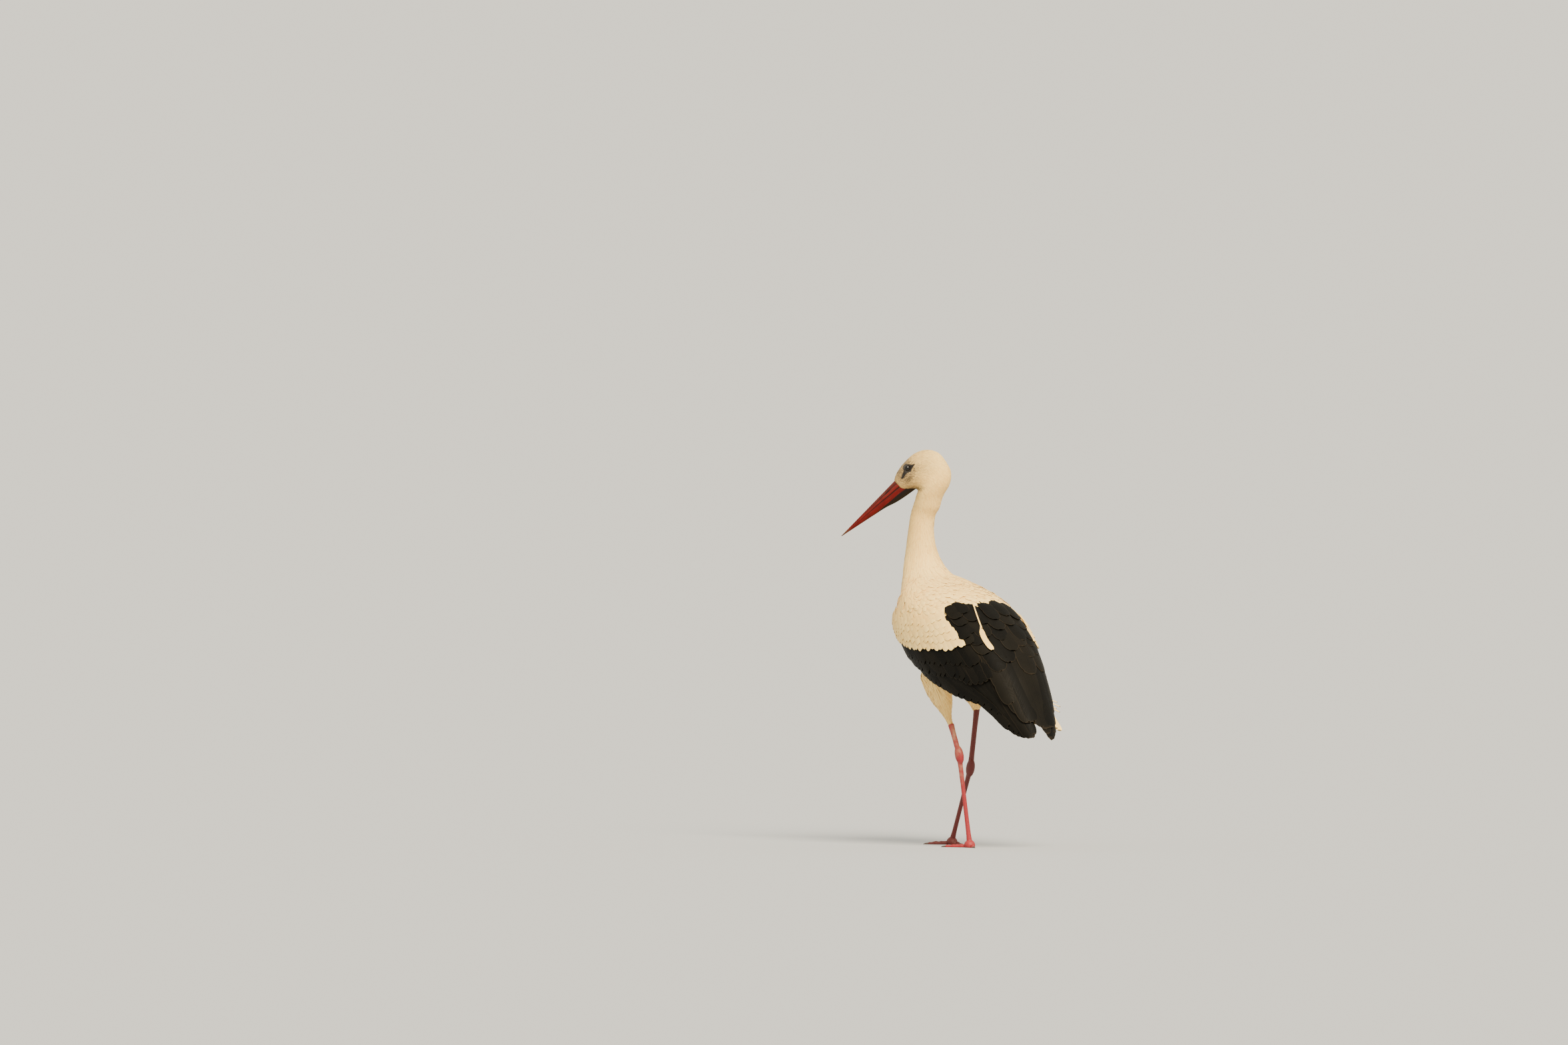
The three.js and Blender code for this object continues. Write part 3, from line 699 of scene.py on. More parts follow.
@dataclass(frozen=True)
class WhitePlumage:
    """Cream-white feathers, dusted with greyish brown on the face, dark where black ones lie, with painted shade
    towards each feather's root and a painted shadow along the jaw line.
    """

    light: Colour = ink("f9d98c")
    warm: Colour = ink("f0c572")
    dust: Colour = ink("66533a")
    soot: Colour = ink("2b2926")

    def material(self) -> Material:
        """Cream in clouds and by feather, with fine streaks along each feather and painted shade towards each
        feather's root.
        """
        g = Graph("white_plumage", 0.85, Specular_IOR_Level=0.25, Sheen_Weight=0.1)
        along, across = g.vane()
        tone = g.mark("tone")
        cloud = g.plus(g.times(g.noise(9, 3), 0.8), g.times(tone, 0.25))
        base = g.mix(g.between(cloud, 0.35, 0.85), self.light, self.warm)
        barbs = g.noise(26, 1, g.vector(g.times(along, 0.18), across, tone))
        base = g.mix(g.between(barbs, 0.45, 0.75, 0.0, 0.18), base, ink("c9a25a"))
        # Painted shade: darker towards each feather's root, where the feathers that overlap it would shade it.
        painted_overlap_shade = g.between(along, 0.6, 0.98, 0.3, 0.0)
        base = g.mix(painted_overlap_shade, base, ink("d2a558"))
        flecks = g.plus(g.between(g.noise(420, 2), 0.3, 0.7, 0.75, 1.1),
                        g.times(g.math("SUBTRACT", tone, 0.5), 0.5))
        flecks = g.times(g.mark("dust"), flecks)
        base = g.mix(g.math("MINIMUM", flecks, 1.0), base, self.dust)
        # Dark where black feathers lie, round the eyes and in the cheek's smudge, and a painted shadow along the jaw
        # line.
        return g.finish(g.mix(g.mark("soot"), base, self.soot))


@dataclass(frozen=True)
class BlackPlumage:
    """Charcoal flight feathers with a pale worn edge, a shaft and fine barbs."""

    deep: Colour = ink("0a0a09")
    worn: Colour = ink("161410")
    edge: Colour = ink("332b21")
    barb_count: float = 34.0

    def material(self) -> Material:
        """Barbs slant from the shaft at the middle of each vane to its edges."""
        g = Graph("black_plumage", 0.6, Specular_IOR_Level=0.05)
        along, across = g.vane()
        aside = g.math("ABSOLUTE", g.math("SUBTRACT", across, 0.5))
        tone = g.mark("tone")
        slant = g.math("SUBTRACT", along, g.times(aside, 0.22))
        barbs = g.noise(1.0, 2, g.vector(g.times(slant, self.barb_count * 3),
                                         g.times(tone, 40), aside))
        wear = g.plus(g.times(g.noise(14, 3), 0.7), g.times(tone, 0.5))
        base = g.mix(g.between(wear, 0.42, 0.95), self.deep, self.worn)
        base = g.mix(g.between(barbs, 0.35, 0.75, 0.0, 0.4), base, self.worn)
        rim = g.plus(g.between(aside, 0.44, 0.5, 0.0, 0.5), g.between(along, 0.975, 1.0, 0, 0.6))
        base = g.mix(g.math("MINIMUM", rim, 0.4), base, self.edge)
        base = g.mix(g.between(aside, 0.0, 0.03, 0.6, 0.0), base, ink("0e0d0c"))
        return g.finish(base, barbs, 0.35, 0.0004, g.between(barbs, 0.3, 0.8, 0.5, 0.7))


@dataclass(frozen=True)
class BareSkin:
    """The thin black skin round the eyes."""

    def material(self) -> Material:
        """Nearly black, finely wrinkled."""
        g = Graph("bare_skin", 0.6, Specular_IOR_Level=0.15)
        wrinkle = g.noise(900, 3)
        return g.finish(g.mix(g.between(wrinkle, 0.3, 0.8), ink("141211"), ink("2e2a27")), wrinkle,
                        0.4, 0.0003)


@dataclass(frozen=True)
class Horn:
    """The bill's horn: red, with a painted sheen in mauve over the base of the ridge, painted shade in black along the
    split and towards the lower keel, and brown at the tip.
    """

    red: Colour = ink("520403")
    mauve: Colour = ink("501c17")
    tip: Colour = ink("4a3322")
    black: Colour = ink("130c0a")
    pale: Colour = ink("a06a58")
    blood: Colour = ink("300807")

    def material(self, upper: bool) -> Material:
        """The map runs from the tip, 0, to the base, 1, and from the ridge, 0, to the keel, 1."""
        g = Graph("bill_upper_horn" if upper else "bill_lower_horn", 0.48,
                  Specular_IOR_Level=0.14)
        along, down = g.vane()
        grain = g.noise(1, 4, g.vector(g.times(along, 7), g.times(down, 22)))
        blotch = g.between(g.noise(60, 3), 0.35, 0.7, 0.0, 0.4)
        streak = g.between(grain, 0.5, 0.8, 0.0, 0.16)

        def marbled(base: Socket | Colour) -> Socket:
            """The base colour with pale streaks and dark blotches."""
            return g.mix(blotch, g.mix(streak, base, self.pale), self.blood)

        if upper:
            # Painted highlight: the top of the upper half, towards its base, lighter in mauve as if lit from above.
            painted_ridge_sheen = g.times(g.between(along, 0.28, 0.8), g.between(down, 0.95, 0.3))
            base = g.mix(painted_ridge_sheen, self.red, self.mauve)
            base = marbled(g.mix(g.between(down, 0.36, 0.44, 0.0, 0.3), base, ink("5c1210")))
            # Painted shade: black along the upper half's cutting edge, as in the gap between the halves.
            base = g.mix(g.between(down, 0.93, 0.99, 0.0, 0.85), base, self.black)
        else:
            # Painted shade: black along the lower half's cutting edge, in the gap between the halves.
            base = g.mix(g.between(down, 0.12, 0.03, 0.0, 0.8), marbled(self.red), self.black)
            # Painted shade: black towards the keel, widest at the base, on the shaded underside.
            reach = g.plus(down, g.between(along, 0.35, 0.95, -0.5, 0.12))
            base = g.mix(g.between(reach, 0.5, 0.62), base, self.black)
        base = g.mix(g.times(g.mark("shade"), 0.9), base, self.black)
        base = g.mix(g.between(along, 0.2, 0.04, 0.0, 0.85), base, self.tip)
        return g.finish(base, grain, 0.12, 0.0003)


@dataclass(frozen=True)
class EyeGlass:
    """A wet, very dark eye with a dark brown iris."""

    def material(self) -> Material:
        """The map's first number runs out from the pupil's middle."""
        g = Graph("eye", 0.05, Specular_IOR_Level=0.3, Coat_Weight=0.15, Coat_Roughness=0.02)
        out, _ = g.vane()
        iris = g.mix(g.between(out, 0.36, 0.4), ink("030202"), ink("150d08"))
        return g.finish(g.mix(g.between(out, 0.72, 0.85), iris, ink("0c0908")))


@dataclass(frozen=True)
class LegSkin:
    """Scaly skin, red where it is clean and cream where it is dusty."""

    clean: Colour
    dark: Colour
    dust: Colour
    name: str

    def material(self) -> Material:
        """Darker between the scales, and dusty in patches."""
        g = Graph(self.name, 0.55, Specular_IOR_Level=0.4)
        border = g.between(g.cells(330), 0.02, 0.1)
        crease = g.between(g.mark("scale"), 0.0, 0.9)
        base = g.mix(g.times(border, crease), self.dark, self.clean)
        base = g.mix(0.55, base, self.clean)
        dusty = g.plus(g.times(g.noise(45, 4), 0.8), g.mark("dusty"))
        base = g.mix(g.between(dusty, 0.55, 1.05, 0.0, 0.9), base, self.dust)
        return g.finish(base, g.noise(700, 2), 0.3, 0.0003)


@dataclass(frozen=True)
class Claw:
    """Dull dark brown claws."""

    def material(self) -> Material:
        """Brown horn with grain."""
        g = Graph("claw", 0.5)
        grain = g.noise(420, 3, stretch=(1, 0.3, 1))
        return g.finish(g.mix(grain, ink("2a1d18"), ink("5a463c")), grain, 0.2, 0.0002)


@dataclass(frozen=True)
class Paper:
    """The pale matt floor."""

    colour: Colour

    def material(self) -> Material:
        """One even colour."""
        return Graph("pale_floor", 0.95, Specular_IOR_Level=0.0).finish(self.colour)


# ---- the body's skin ----
def skin_section(top: Array, low: Array, side: Array) -> Array:
    """One section of the body: its point on the back, its point on the belly, its half width."""
    return np.concatenate([top, low, side])


def trunk_sections() -> list[Array]:
    """The trunk from the rump to the shoulders, as [t, height of the back, depth, half width]."""
    upright = [(225, 40, 12, 28), (200, 60, 42, 60), (175, 76, 66, 76), (110, 99, 99, 98),
               (40, 103, 123, 107), (-40, 93, 136, 108), (-100, 76, 130, 101)]
    fanned = [(-130, 66, -150, 110, 92), (-150, 63, -195, 76, 82), (-168, 61, -228, 46, 70)]
    left = np.array([1.0, 0, 0])
    rows = [skin_section(on_axis(t, 0, up), on_axis(t, 0, -down), wide * left)
            for t, up, down, wide in upright]
    return rows + [skin_section(on_axis(t, 0, up), on_axis(t_low, 0, -down), wide * left)
                   for t, up, t_low, down, wide in fanned]


def neck_sections() -> list[Array]:
    """The neck, as [forward and up at the back, forward and up in front, half width].

    Its last section is half turned towards the head's own plane.
    """
    rows = [(62, 660, 176, 632, 60), (80, 677, 181, 664, 50), (96, 705, 180, 705, 40),
            (105, 745, 175, 745, 34), (102, 779, 159, 800, 32)]
    left = np.array([1.0, 0, 0])
    turn = HEAD_TURN / 2
    ahead = place(33 * np.cos(turn), 33 * np.sin(turn), 5)
    middle = place(115, 1, 809)
    half_turned = skin_section(middle - ahead, middle + ahead,
                               33 * place(-np.sin(turn), np.cos(turn), 0))
    return [skin_section(place(f, 0, up), place(f_low, 0, low), wide * left)
            for f, up, f_low, low, wide in rows] + [half_turned]


def head_sections() -> list[Array]:
    """The head, as [out and up at the back, out and up in front, half width]."""
    rows = [(25.7, 835, 93.5, 833, 33.5), (11, 862, 88, 846, 33),
            (8, 890, 85, 851, 31.5), (19, 914, 86, 851.5, 30.5), (38, 937, 90, 850.5, 30.5),
            (66, 945, 96, 849.5, 30), (96, 936, 103, 848.5, 30), (121, 914, 112, 847.5, 28),
            (138, 891, 120, 846.5, 22), (146, 871, 127, 846, 14)]
    return [skin_section(on_head(out, up), on_head(out_low, low), wide * HEAD_LEFT)
            for out, up, out_low, low, wide in rows]


@dataclass(frozen=True)
class Thigh:
    """A feathered thigh: rows of [forward, left, up, half depth, half width]."""

    rows: Keys

    def shape(self) -> Shape:
        """A tube of egg-shaped sections that tip down towards the front."""
        f, left, up, deep, wide = spline_rows(np.array(self.rows, float), 40).T
        zero = np.zeros_like(deep)
        return tube(ellipse_rings(place(f, left, up), place(deep, zero, -0.25 * deep),
                                  place(zero, wide, zero), 40))

    def axis(self) -> Array:
        """Its middle line, from the top."""
        f, left, up = np.array(self.rows, float)[:, :3].T
        return place(f, left, up)


THIGHS = (
    Thigh([[-4, 55, 440, 42, 23], [-8, 61, 414, 52, 30], [-16, 60, 384, 46, 27],
           [-28, 58, 352, 34, 20], [-38, 56, 332, 23, 14.5], [-47, 54.5, 310, 11, 9],
           [-60, 53, 288, 7.8, 7.6]]),
    Thigh([[8, -54, 440, 46, 25], [14, -60, 412, 56, 34], [8, -60, 380, 50, 31],
           [0, -59, 356, 32, 23], [-7, -57, 338, 17, 14], [-10, -56, 322, 9, 8.6]]),
)
COAT_DEPTH = Curve([[300, 2], [420, 3.4], [690, 4.4], [740, 4], [800, 2.6], [850, 1.1], [950, 1]])


@dataclass(frozen=True)
class TailPlane:
    """The flat fan of the tail; places on it are t and millimetres to the left."""

    height: Curve = Curve([[186, 34], [225, 38], [265, 34], [310, 28], [350, 22], [376, 18]])

    def point(self, t: Array, left: Array, out: Array = 0.0) -> Array:
        """Points on the fan, moved up by out millimetres; its sides droop a little."""
        droop = 0.0012 * np.square(left)
        return on_axis(t, left, self.height(t) + out - droop)

    def per_mm(self, t: Array, left: Array) -> Array:
        """Its own unit is the millimetre."""
        return np.ones(np.broadcast(t, left).shape)


TAIL = TailPlane()


class Ground:
    """The skin's points with their normals, on which feathers are laid."""

    BAND = 16.0  # height of the slices that are searched one at a time
    REACH = 14.0  # farthest that a feather's point may lie from the skin

    def __init__(self, points: Array, normals: Array) -> None:
        """Sorts the points by height."""
        order = np.argsort(points[:, 2])
        self.points, self.normals = points[order], normals[order]

    def nearest(self, places: Array) -> Array:
        """The number of the skin point nearest to each place."""
        found = np.zeros(len(places), int)
        heights = self.points[:, 2]
        for low in np.arange(places[:, 2].min() - 1, places[:, 2].max() + 1, self.BAND):
            asked = np.nonzero((places[:, 2] >= low) & (places[:, 2] < low + self.BAND))[0]
            first, last = np.searchsorted(heights, [low - self.REACH, low + self.BAND + self.REACH])
            if len(asked) and last > first:
                near = self.points[first:last].astype(np.float32)
                gap = (near * near).sum(1)[None] - 2 * places[asked].astype(np.float32) @ near.T
                found[asked] = first + gap.argmin(1)
        return found

    def settle(self, places: Array) -> tuple[Array, Array]:
        """Moves places on to the skin, by no more than a step; also gives the normal there."""
        step = 5.0
        i = self.nearest(places)
        normal = self.normals[i]
        rise = dot(places - self.points[i], normal).clip(-step, step)
        return places - rise[:, None] * normal, normal


class Body:
    """Trunk, neck, head and thighs as one skin, with the way that its feathers lie."""

    CELL = 3.1  # size of the skin's faces
    ROUNDS = 10  # of smoothing
    EVENING = 4  # rounds that make its normals even
    BLACK_DEPTH = 5.0  # how far it lies under black feathers
    BLACK_TOP = 650.0  # height that no black feather reaches
    MANTLE_OUT = -1.0  # the mantle under the wings' surface
    REPLACED = ("trunk", "neck_lower", "neck_middle", "neck_upper", "head", "thigh_left",
                "thigh_right", "wing_left_coverts", "wing_right_coverts")

    def __init__(self) -> None:
        """Works out the sections and the lines that the feathers follow."""
        self.rows = np.array(trunk_sections() + neck_sections() + head_sections())
        spine = spline_rows(self.rows, 160)[::-1]
        spine = (spine[:, :3] + spine[:, 3:6]) / 2
        tail = TAIL.point(np.linspace(235, 370, 12), np.zeros(12))
        self.spine = np.concatenate([spine, tail])
        self.way = unit(np.gradient(self.spine, axis=0))
        steps = np.linalg.norm(np.diff(self.spine, axis=0), axis=1)
        self.journey = np.concatenate([[0], np.cumsum(steps)])
        self.mesh = self.skin()
        self.points = read_points(self.mesh)
        self.normals = read_normals(self.mesh, self.EVENING)
        self.ground = Ground(self.points, self.normals)

    def flesh(self) -> list[Shape]:
        """The closed solids that the skin is fused from."""
        rows = self.eased(spline_rows(self.rows, 150))
        top, low, side = rows[:, :3], rows[:, 3:6], rows[:, 6:]
        trunk = tube(ellipse_rings((top + low) / 2, (top - low) / 2, side, 64))
        t = np.linspace(-172, 230, 60)[:, None]
        rim = WING_LOWER_RIM(t)
        share = np.linspace(-1, 1, 90)[None]
        outer = WINGS.point(t, rim * share, self.MANTLE_OUT)
        thick = np.interp(t, [-172, -40, 60], [42, 34, 23])
        inner = WINGS.point(t, rim * share[:, ::-1], -thick)
        mantle = tube(np.concatenate([outer, inner], axis=1))
        t = np.linspace(180, 300, 12)
        half = np.interp(t, [180, 225, 300], [30, 32, 48])
        zero = np.zeros_like(t)
        origin = on_axis(0, 0, 0)
        tail = tube(ellipse_rings(TAIL.point(t, zero, -3), on_axis(zero, half, zero) - origin,
                                  on_axis(zero, zero, zero + 7) - origin, 32))
        return [trunk, mantle, tail] + [thigh.shape() for thigh in THIGHS]

    @staticmethod
    def eased(rows: Array) -> Array:
        """Spreads the bend from the neck's plane into the head's down the top of the neck.

        Each section there moves to the head's side by the mean, weighted by a bell curve, of how
        far its neighbours lie there; its outline seen from that side stays.
        """
        reach = 9.0  # in sections
        i = np.arange(len(rows))
        bell = np.exp(-np.square((i[:, None] - i) / reach) / 2)
        middle = (rows[:, :3] + rows[:, 3:6]) / 2
        height = middle[:, 2]
        share = smoothstep(height, 880, 845) * smoothstep(height, 670, 720)
        shift = share * ((bell / bell.sum(1, keepdims=True) @ middle - middle) @ HEAD_LEFT)
        moved = rows.copy()
        moved[:, :3] += shift[:, None] * HEAD_LEFT
        moved[:, 3:6] += shift[:, None] * HEAD_LEFT
        return moved

    def skin(self) -> Mesh:
        """The fused skin, drawn in by the depth of the coat and of the black feathers."""
        mesh = fused("skin", self.flesh(), self.CELL, self.ROUNDS)
        points = read_points(mesh)
        normals = read_normals(mesh, self.EVENING)
        under_black = self.marks(points)["soot"] * (points[:, 2] < self.BLACK_TOP)
        depth = COAT_DEPTH(points[:, 2]) + self.BLACK_DEPTH * under_black
        points = self.with_sockets(points - normals * depth[:, None])
        write_points(mesh, points)
        return mesh

    @staticmethod
    def with_sockets(points: Array) -> Array:
        """Draws the sides of the head in round the eyes, by a shallow cone that opens outwards."""
        rim, slope, opening = EYE.aside + 4.6, 0.42, 7.0
        out, up, left = head_place_of(points)
        reach = np.hypot(out - EYE.out, up - EYE.up)
        limit = rim + slope * np.maximum(reach - opening, 0)
        over = np.maximum(np.abs(left) - limit, 0) * (np.abs(left) > 10) * (reach < 22)
        return points - (np.sign(left) * over)[:, None] * HEAD_LEFT

    def flow(self, places: Array) -> tuple[Array, Array]:
        """Which way the feathers lie, and how far down the bird from the bill a place is.

        Each is a mean over the bird's middle line, in which nearer points of the line count for
        more by a bell curve 38 mm wide. Down the thighs the feathers follow the thigh instead.

        Args:
            places: points on or near the skin.

        Returns:
            Unit directions, and distances in millimetres along the middle line.
        """
        reach, thigh_reach = 38.0, 24.0
        gap = np.square(places[:, None] - self.spine[None]).sum(-1)
        weight = np.exp(-(gap - gap.min(1, keepdims=True)) / (2 * reach**2))
        way = unit(weight @ self.way)
        journey = (weight * self.journey).sum(1) / weight.sum(1)
        for thigh in THIGHS:
            axis = spline_rows(thigh.axis(), 24)
            down = unit(np.gradient(axis, axis=0))
            gap = np.square(places[:, None] - axis[None]).sum(-1)
            near = np.exp(-gap.min(1) / (2 * thigh_reach**2))
            share = smoothstep(near, 0.25, 0.6) * smoothstep(places[:, 2], 432, 396)
            way = unit(way * (1 - share)[:, None] + down[gap.argmin(1)] * share[:, None])
        return way, journey

    def marks(self, places: Array) -> dict[str, Array]:
        """The markings at places on the skin: dark under black feathers and round the eyes, with a painted shadow
        along the jaw line, and brownish dust on the face.
        """
        t, angle, share = WINGS.place_of(places)
        up = places[:, 2]
        over = smoothstep(t - WHITE_EDGE(angle), -14, -2)
        on_wing = (np.abs(angle) < WING_LOWER_RIM(t) + 4) & (share > 0.84) & (up < self.BLACK_TOP + 10)
        rump = smoothstep(t, 225, 245)
        under_black = over * on_wing * (1 - rump * (np.abs(angle) < 20))
        out = (places - place(*HEAD_AT, 0)) @ HEAD_AHEAD
        crown = 0.35 * smoothstep(out, 35, 90) * smoothstep(up, 880, 900)
        nape = 0.1 * smoothstep(up, 690, 760)
        dust = (sum(stain.at(out, up) for stain in FACE_DUST) + crown + nape).clip(0, 1) * (up > 640)
        ring = 0.95 * smoothstep(EYELID.reach(out, up), 1.12, 1.02) * (up > 850)
        # Dark under black feathers, round the eyes and in the cheek's smudge, and a painted shadow along the crease
        # where the jaw meets the throat.
        soot = np.maximum.reduce([under_black, CHEEK_SMUDGE.at(out, up), JAW_SHADOW.at(out, up), ring])
        return {"soot": soot, "dust": dust}


@dataclass(frozen=True)
class Stain:
    """A soft-edged mark on the head, which may be drawn out backwards along a line."""

    out: float
    up: float
    long: float
    tall: float
    strength: float = 1.0
    back: float = 0.0  # how far the line runs back, and how much it rises on the way
    rise: float = 0.0

    def at(self, out: Array, up: Array) -> Array:
        """Its strength at places of the head's plane, which falls off from it by a bell curve."""
        share = ((self.out - out) / self.back).clip(0, 1) if self.back else 0.0
        ahead, above = out - self.out + self.back * share, up - self.up - self.rise * share
        return self.strength * np.exp(-np.square(ahead / self.long) - np.square(above / self.tall))


FACE_DUST = (Stain(120, 880, 26, 26), Stain(104, 850, 14, 9, 0.6), Stain(131, 903, 19, 20, 0.8))
CHEEK_SMUDGE = Stain(113, 872, 4, 6, 0.8)
# A painted shadow along the crease where the jaw meets the throat.
JAW_SHADOW = Stain(109, 849, 3, 3, 0.6, back=29, rise=8)


# ---- the small feathers ----
@dataclass(frozen=True)
class Down:
    """How small feathers grow, by millimetres down the bird from the bill, or by t on the wings."""

    length: Curve
    width: Curve
    spacing: Curve
    lift: Curve  # height of the tip over the skin
    point: Curve  # 0 for a round tip, 1 for a pointed one


BODY_DOWN = Down(
    length=Curve([[0, 4.5], [25, 6], [60, 9], [120, 14], [180, 19], [260, 26], [330, 38],
                  [420, 46], [620, 44], [820, 40]]),
    width=Curve([[0, 1.3], [25, 1.5], [60, 1.9], [140, 2.5], [260, 3.6], [330, 6], [420, 9],
                 [620, 12], [820, 12]]),
    spacing=Curve([[0, 1.35], [25, 1.6], [60, 1.95], [140, 2.45], [260, 3.3], [330, 4.4], [420, 5.6],
                   [620, 7.2], [820, 7.2]]),
    lift=Curve([[0, 1.8], [22, 1.0], [60, 0.8], [140, 1.1], [260, 1.4], [420, 2.1], [820, 2.4]]),
    point=Curve([[0, 0.9], [80, 0.9], [260, 0.85], [400, 0.6], [620, 0.45], [820, 0.3]]),
)
WING_DOWN = Down(
    length=Curve([[-170, 26], [-120, 36], [-40, 46], [60, 50], [150, 50]]),
    width=Curve([[-170, 9], [-120, 14], [-40, 19], [60, 22], [150, 22]]),
    spacing=Curve([[-170, 5.8], [-120, 7.2], [-40, 9.5], [60, 10.5], [150, 11]]),
    lift=Curve([[-170, 3], [0, 3.6], [150, 3.6]]),
    point=Curve([[-170, 0.5], [-100, 0.2], [150, 0.1]]),
)
THIGH_DOWN = Down(
    length=Curve([[280, 9], [310, 16], [340, 26], [385, 34], [420, 28]]),
    width=Curve([[280, 2.0], [340, 3.6], [420, 6]]),
    spacing=Curve([[280, 2.0], [340, 3.2], [420, 4.6]]),
    lift=Curve([[280, 0.8], [310, 1.4], [340, 2.2], [420, 2.6]]),
    point=Curve([[280, 0.95], [340, 0.85], [420, 0.7]]),
)


@dataclass
class Roots:
    """Where small feathers grow, and the size of each."""

    at: Array
    way: Array
    length: Array
    width: Array
    lift: Array
    point: Array

    def kept(self, keep: Array) -> "Roots":
        """The ones that keep picks."""
        return Roots(*(getattr(self, name)[keep] for name in self.__dataclass_fields__))

    def __len__(self) -> int:
        """How many there are."""
        return len(self.at)


# A small feather's stations: how far along it each is, and how its width swells and tapers there.
STATIONS = np.array([0.0, 0.22, 0.48, 0.72, 0.9])
ROUND_WIDTHS = np.array([0.45, 0.85, 1.0, 0.94, 0.66])
POINTED_WIDTHS = np.array([0.6, 1.0, 0.88, 0.56, 0.24])


class Coat:
    """The small feathers of the body, grown in rows that follow the lie of the coat."""

    PATCH = 0.003  # size of a feather's patch on the baked map
    LAST = 292.0  # t that no small feather passes
    ROUND = 0.3  # how far the edges of a feather look aside
    SPREADS = (("length", 0.12), ("width", 0.1), ("lift", 0.25), ("point", 0.1))
    NECK_FROM, HEAD_FROM, FACE_FROM = 700.0, 842.0, 84.0  # two heights and a distance out
    THIGH_TO, RUMP_FROM, BACK_FROM = 405.0, 180.0, -60.0  # a height and two places along the body

    def __init__(self, body: Body) -> None:
        """Grows a root for each feather."""
        self.body = body
        self.rng = np.random.default_rng(SEED)
        self.roots = self.grow()

    def style(self, places: Array, journey: Array) -> dict[str, Array]:
        """The feathers' sizes at places: the body's, the wings' or the thighs'."""
        t, angle, share = WINGS.place_of(places)
        on_wing = smoothstep(share, 0.74, 0.84) * smoothstep(WING_LOWER_RIM(t) + 2 - np.abs(angle), 0, 6)
        on_wing = on_wing * smoothstep(t, -160, -120) * smoothstep(places[:, 2], 690, 640)
        near = np.min([np.linalg.norm(places[:, None, :2] - spline_rows(thigh.axis(), 12)[None, :, :2],
                                      axis=-1).min(1) for thigh in THIGHS], axis=0)
        on_thigh = smoothstep(near, 52, 34) * smoothstep(places[:, 2], 430, 390)
        sizes = {}
        for name in Down.__dataclass_fields__:
            value = getattr(BODY_DOWN, name)(journey)
            value = value * (1 - on_wing) + getattr(WING_DOWN, name)(t) * on_wing
            sizes[name] = value * (1 - on_thigh) + getattr(THIGH_DOWN, name)(places[:, 2]) * on_thigh
        return sizes

    def grow(self) -> Roots:
        """Scatters roots over the skin's faces and thins them to the spacing of their place."""
        crowding, share_of_spacing = 3.0, 0.86
        mesh = self.body.mesh
        corners = np.empty(len(mesh.loops), np.int32)
        mesh.loops.foreach_get("vertex_index", corners)
        corner = self.body.points[corners.reshape(-1, 4)]
        area = np.linalg.norm(np.cross(corner[:, 2] - corner[:, 0], corner[:, 3] - corner[:, 1]),
                              axis=1) / 2
        middle = corner.mean(1)
        _, journey = self.body.flow(middle)
        spacing = self.style(middle, journey)["spacing"]
        count = (crowding * area / spacing**2 + self.rng.random(len(area))).astype(int)
        face = np.repeat(np.arange(len(area)), count)
        a, b = self.rng.random((2, len(face), 1))
        c = corner[face]
        at = (c[:, 0] * (1 - a) + c[:, 1] * a) * (1 - b) + (c[:, 3] * (1 - a) + c[:, 2] * a) * b
        cell = share_of_spacing * 1.12 ** np.round(np.log(spacing[face]) / np.log(1.12))
        key = np.floor(at / cell[:, None]).astype(np.int64)
        key = key @ np.array([1, 4096, 4096**2]) * 64 + np.round(cell * 4).astype(np.int64)
        _, first = np.unique(key, return_index=True)
        at = at[first]
        way, journey = self.body.flow(at)
        size = self.style(at, journey)
        varied = [size[name] * self.varied(spread, len(at)) for name, spread in self.SPREADS]
        roots = Roots(at, way, *varied)
        return roots.kept(self.wanted(roots))

    def varied(self, spread: float, count: int) -> Array:
        """Numbers scattered about 1."""
        return 1 + self.rng.normal(0, spread, count).clip(-2.5 * spread, 2.5 * spread)

    def wanted(self, roots: Roots) -> Array:
        """Leaves out feathers over black ones, the bill or the eyes, or past the skin's ends."""
        aside = np.cross(self.body.ground.settle(roots.at)[1], roots.way) * roots.width[:, None]
        keep = np.ones(len(roots), bool)
        for along, across in ((0.95, 0), (0.7, 0.4), (0.7, -0.4)):
            tip = roots.at + roots.way * roots.length[:, None] * along + across * aside
            keep &= ~self.on_black(tip, 3) & (WINGS.place_of(tip)[0] < self.LAST)
        keep &= ~self.on_black(roots.at, -4)
        out, up, left = head_place_of(roots.at)
        keep &= ~(BILL.holds(out, up) & (np.abs(left) < 15))
        for share, nearest in ((0.0, 1.0), (0.5, 1.0), (0.95, 0.92)):
            out, up, left = head_place_of(roots.at + share * roots.way * roots.length[:, None])
            keep &= ~((np.abs(left) > 8) & (EYELID.reach(out, up) < nearest))
        return keep & self.lies_well(roots)

    def on_black(self, places: Array, past: float) -> Array:
        """Whether places lie on a wing, more than so many millimetres past its white feathers."""
        t, angle, share = WINGS.place_of(places)
        on_wing = (share > 0.78) & (np.abs(angle) < WING_LOWER_RIM(t) + 2)
        return on_wing & (places[:, 2] < Body.BLACK_TOP) & (t > WHITE_EDGE(angle) + past)

    def lies_well(self, roots: Roots) -> Array:
        """Whether each feather, followed down the skin in short steps, stays on it.

        It does not where it comes to a step off the skin's end or into a sharp crease.
        """
        steps, slack, share, straight = 5, 4.0, 0.1, 0.6
        ground = self.body.ground
        keep = np.ones(len(roots), bool)
        at, way = roots.at, roots.way
        normal = ground.settle(at)[1]
        for _ in range(steps):
            way = level_with(way, normal)
            at, turned = ground.settle(at + way * (roots.length / steps)[:, None])
            gap = np.linalg.norm(at - ground.points[ground.nearest(at)], axis=1)
            keep &= (gap < slack + share * roots.length) & (dot(turned, normal) > straight)
            normal = turned
        return keep

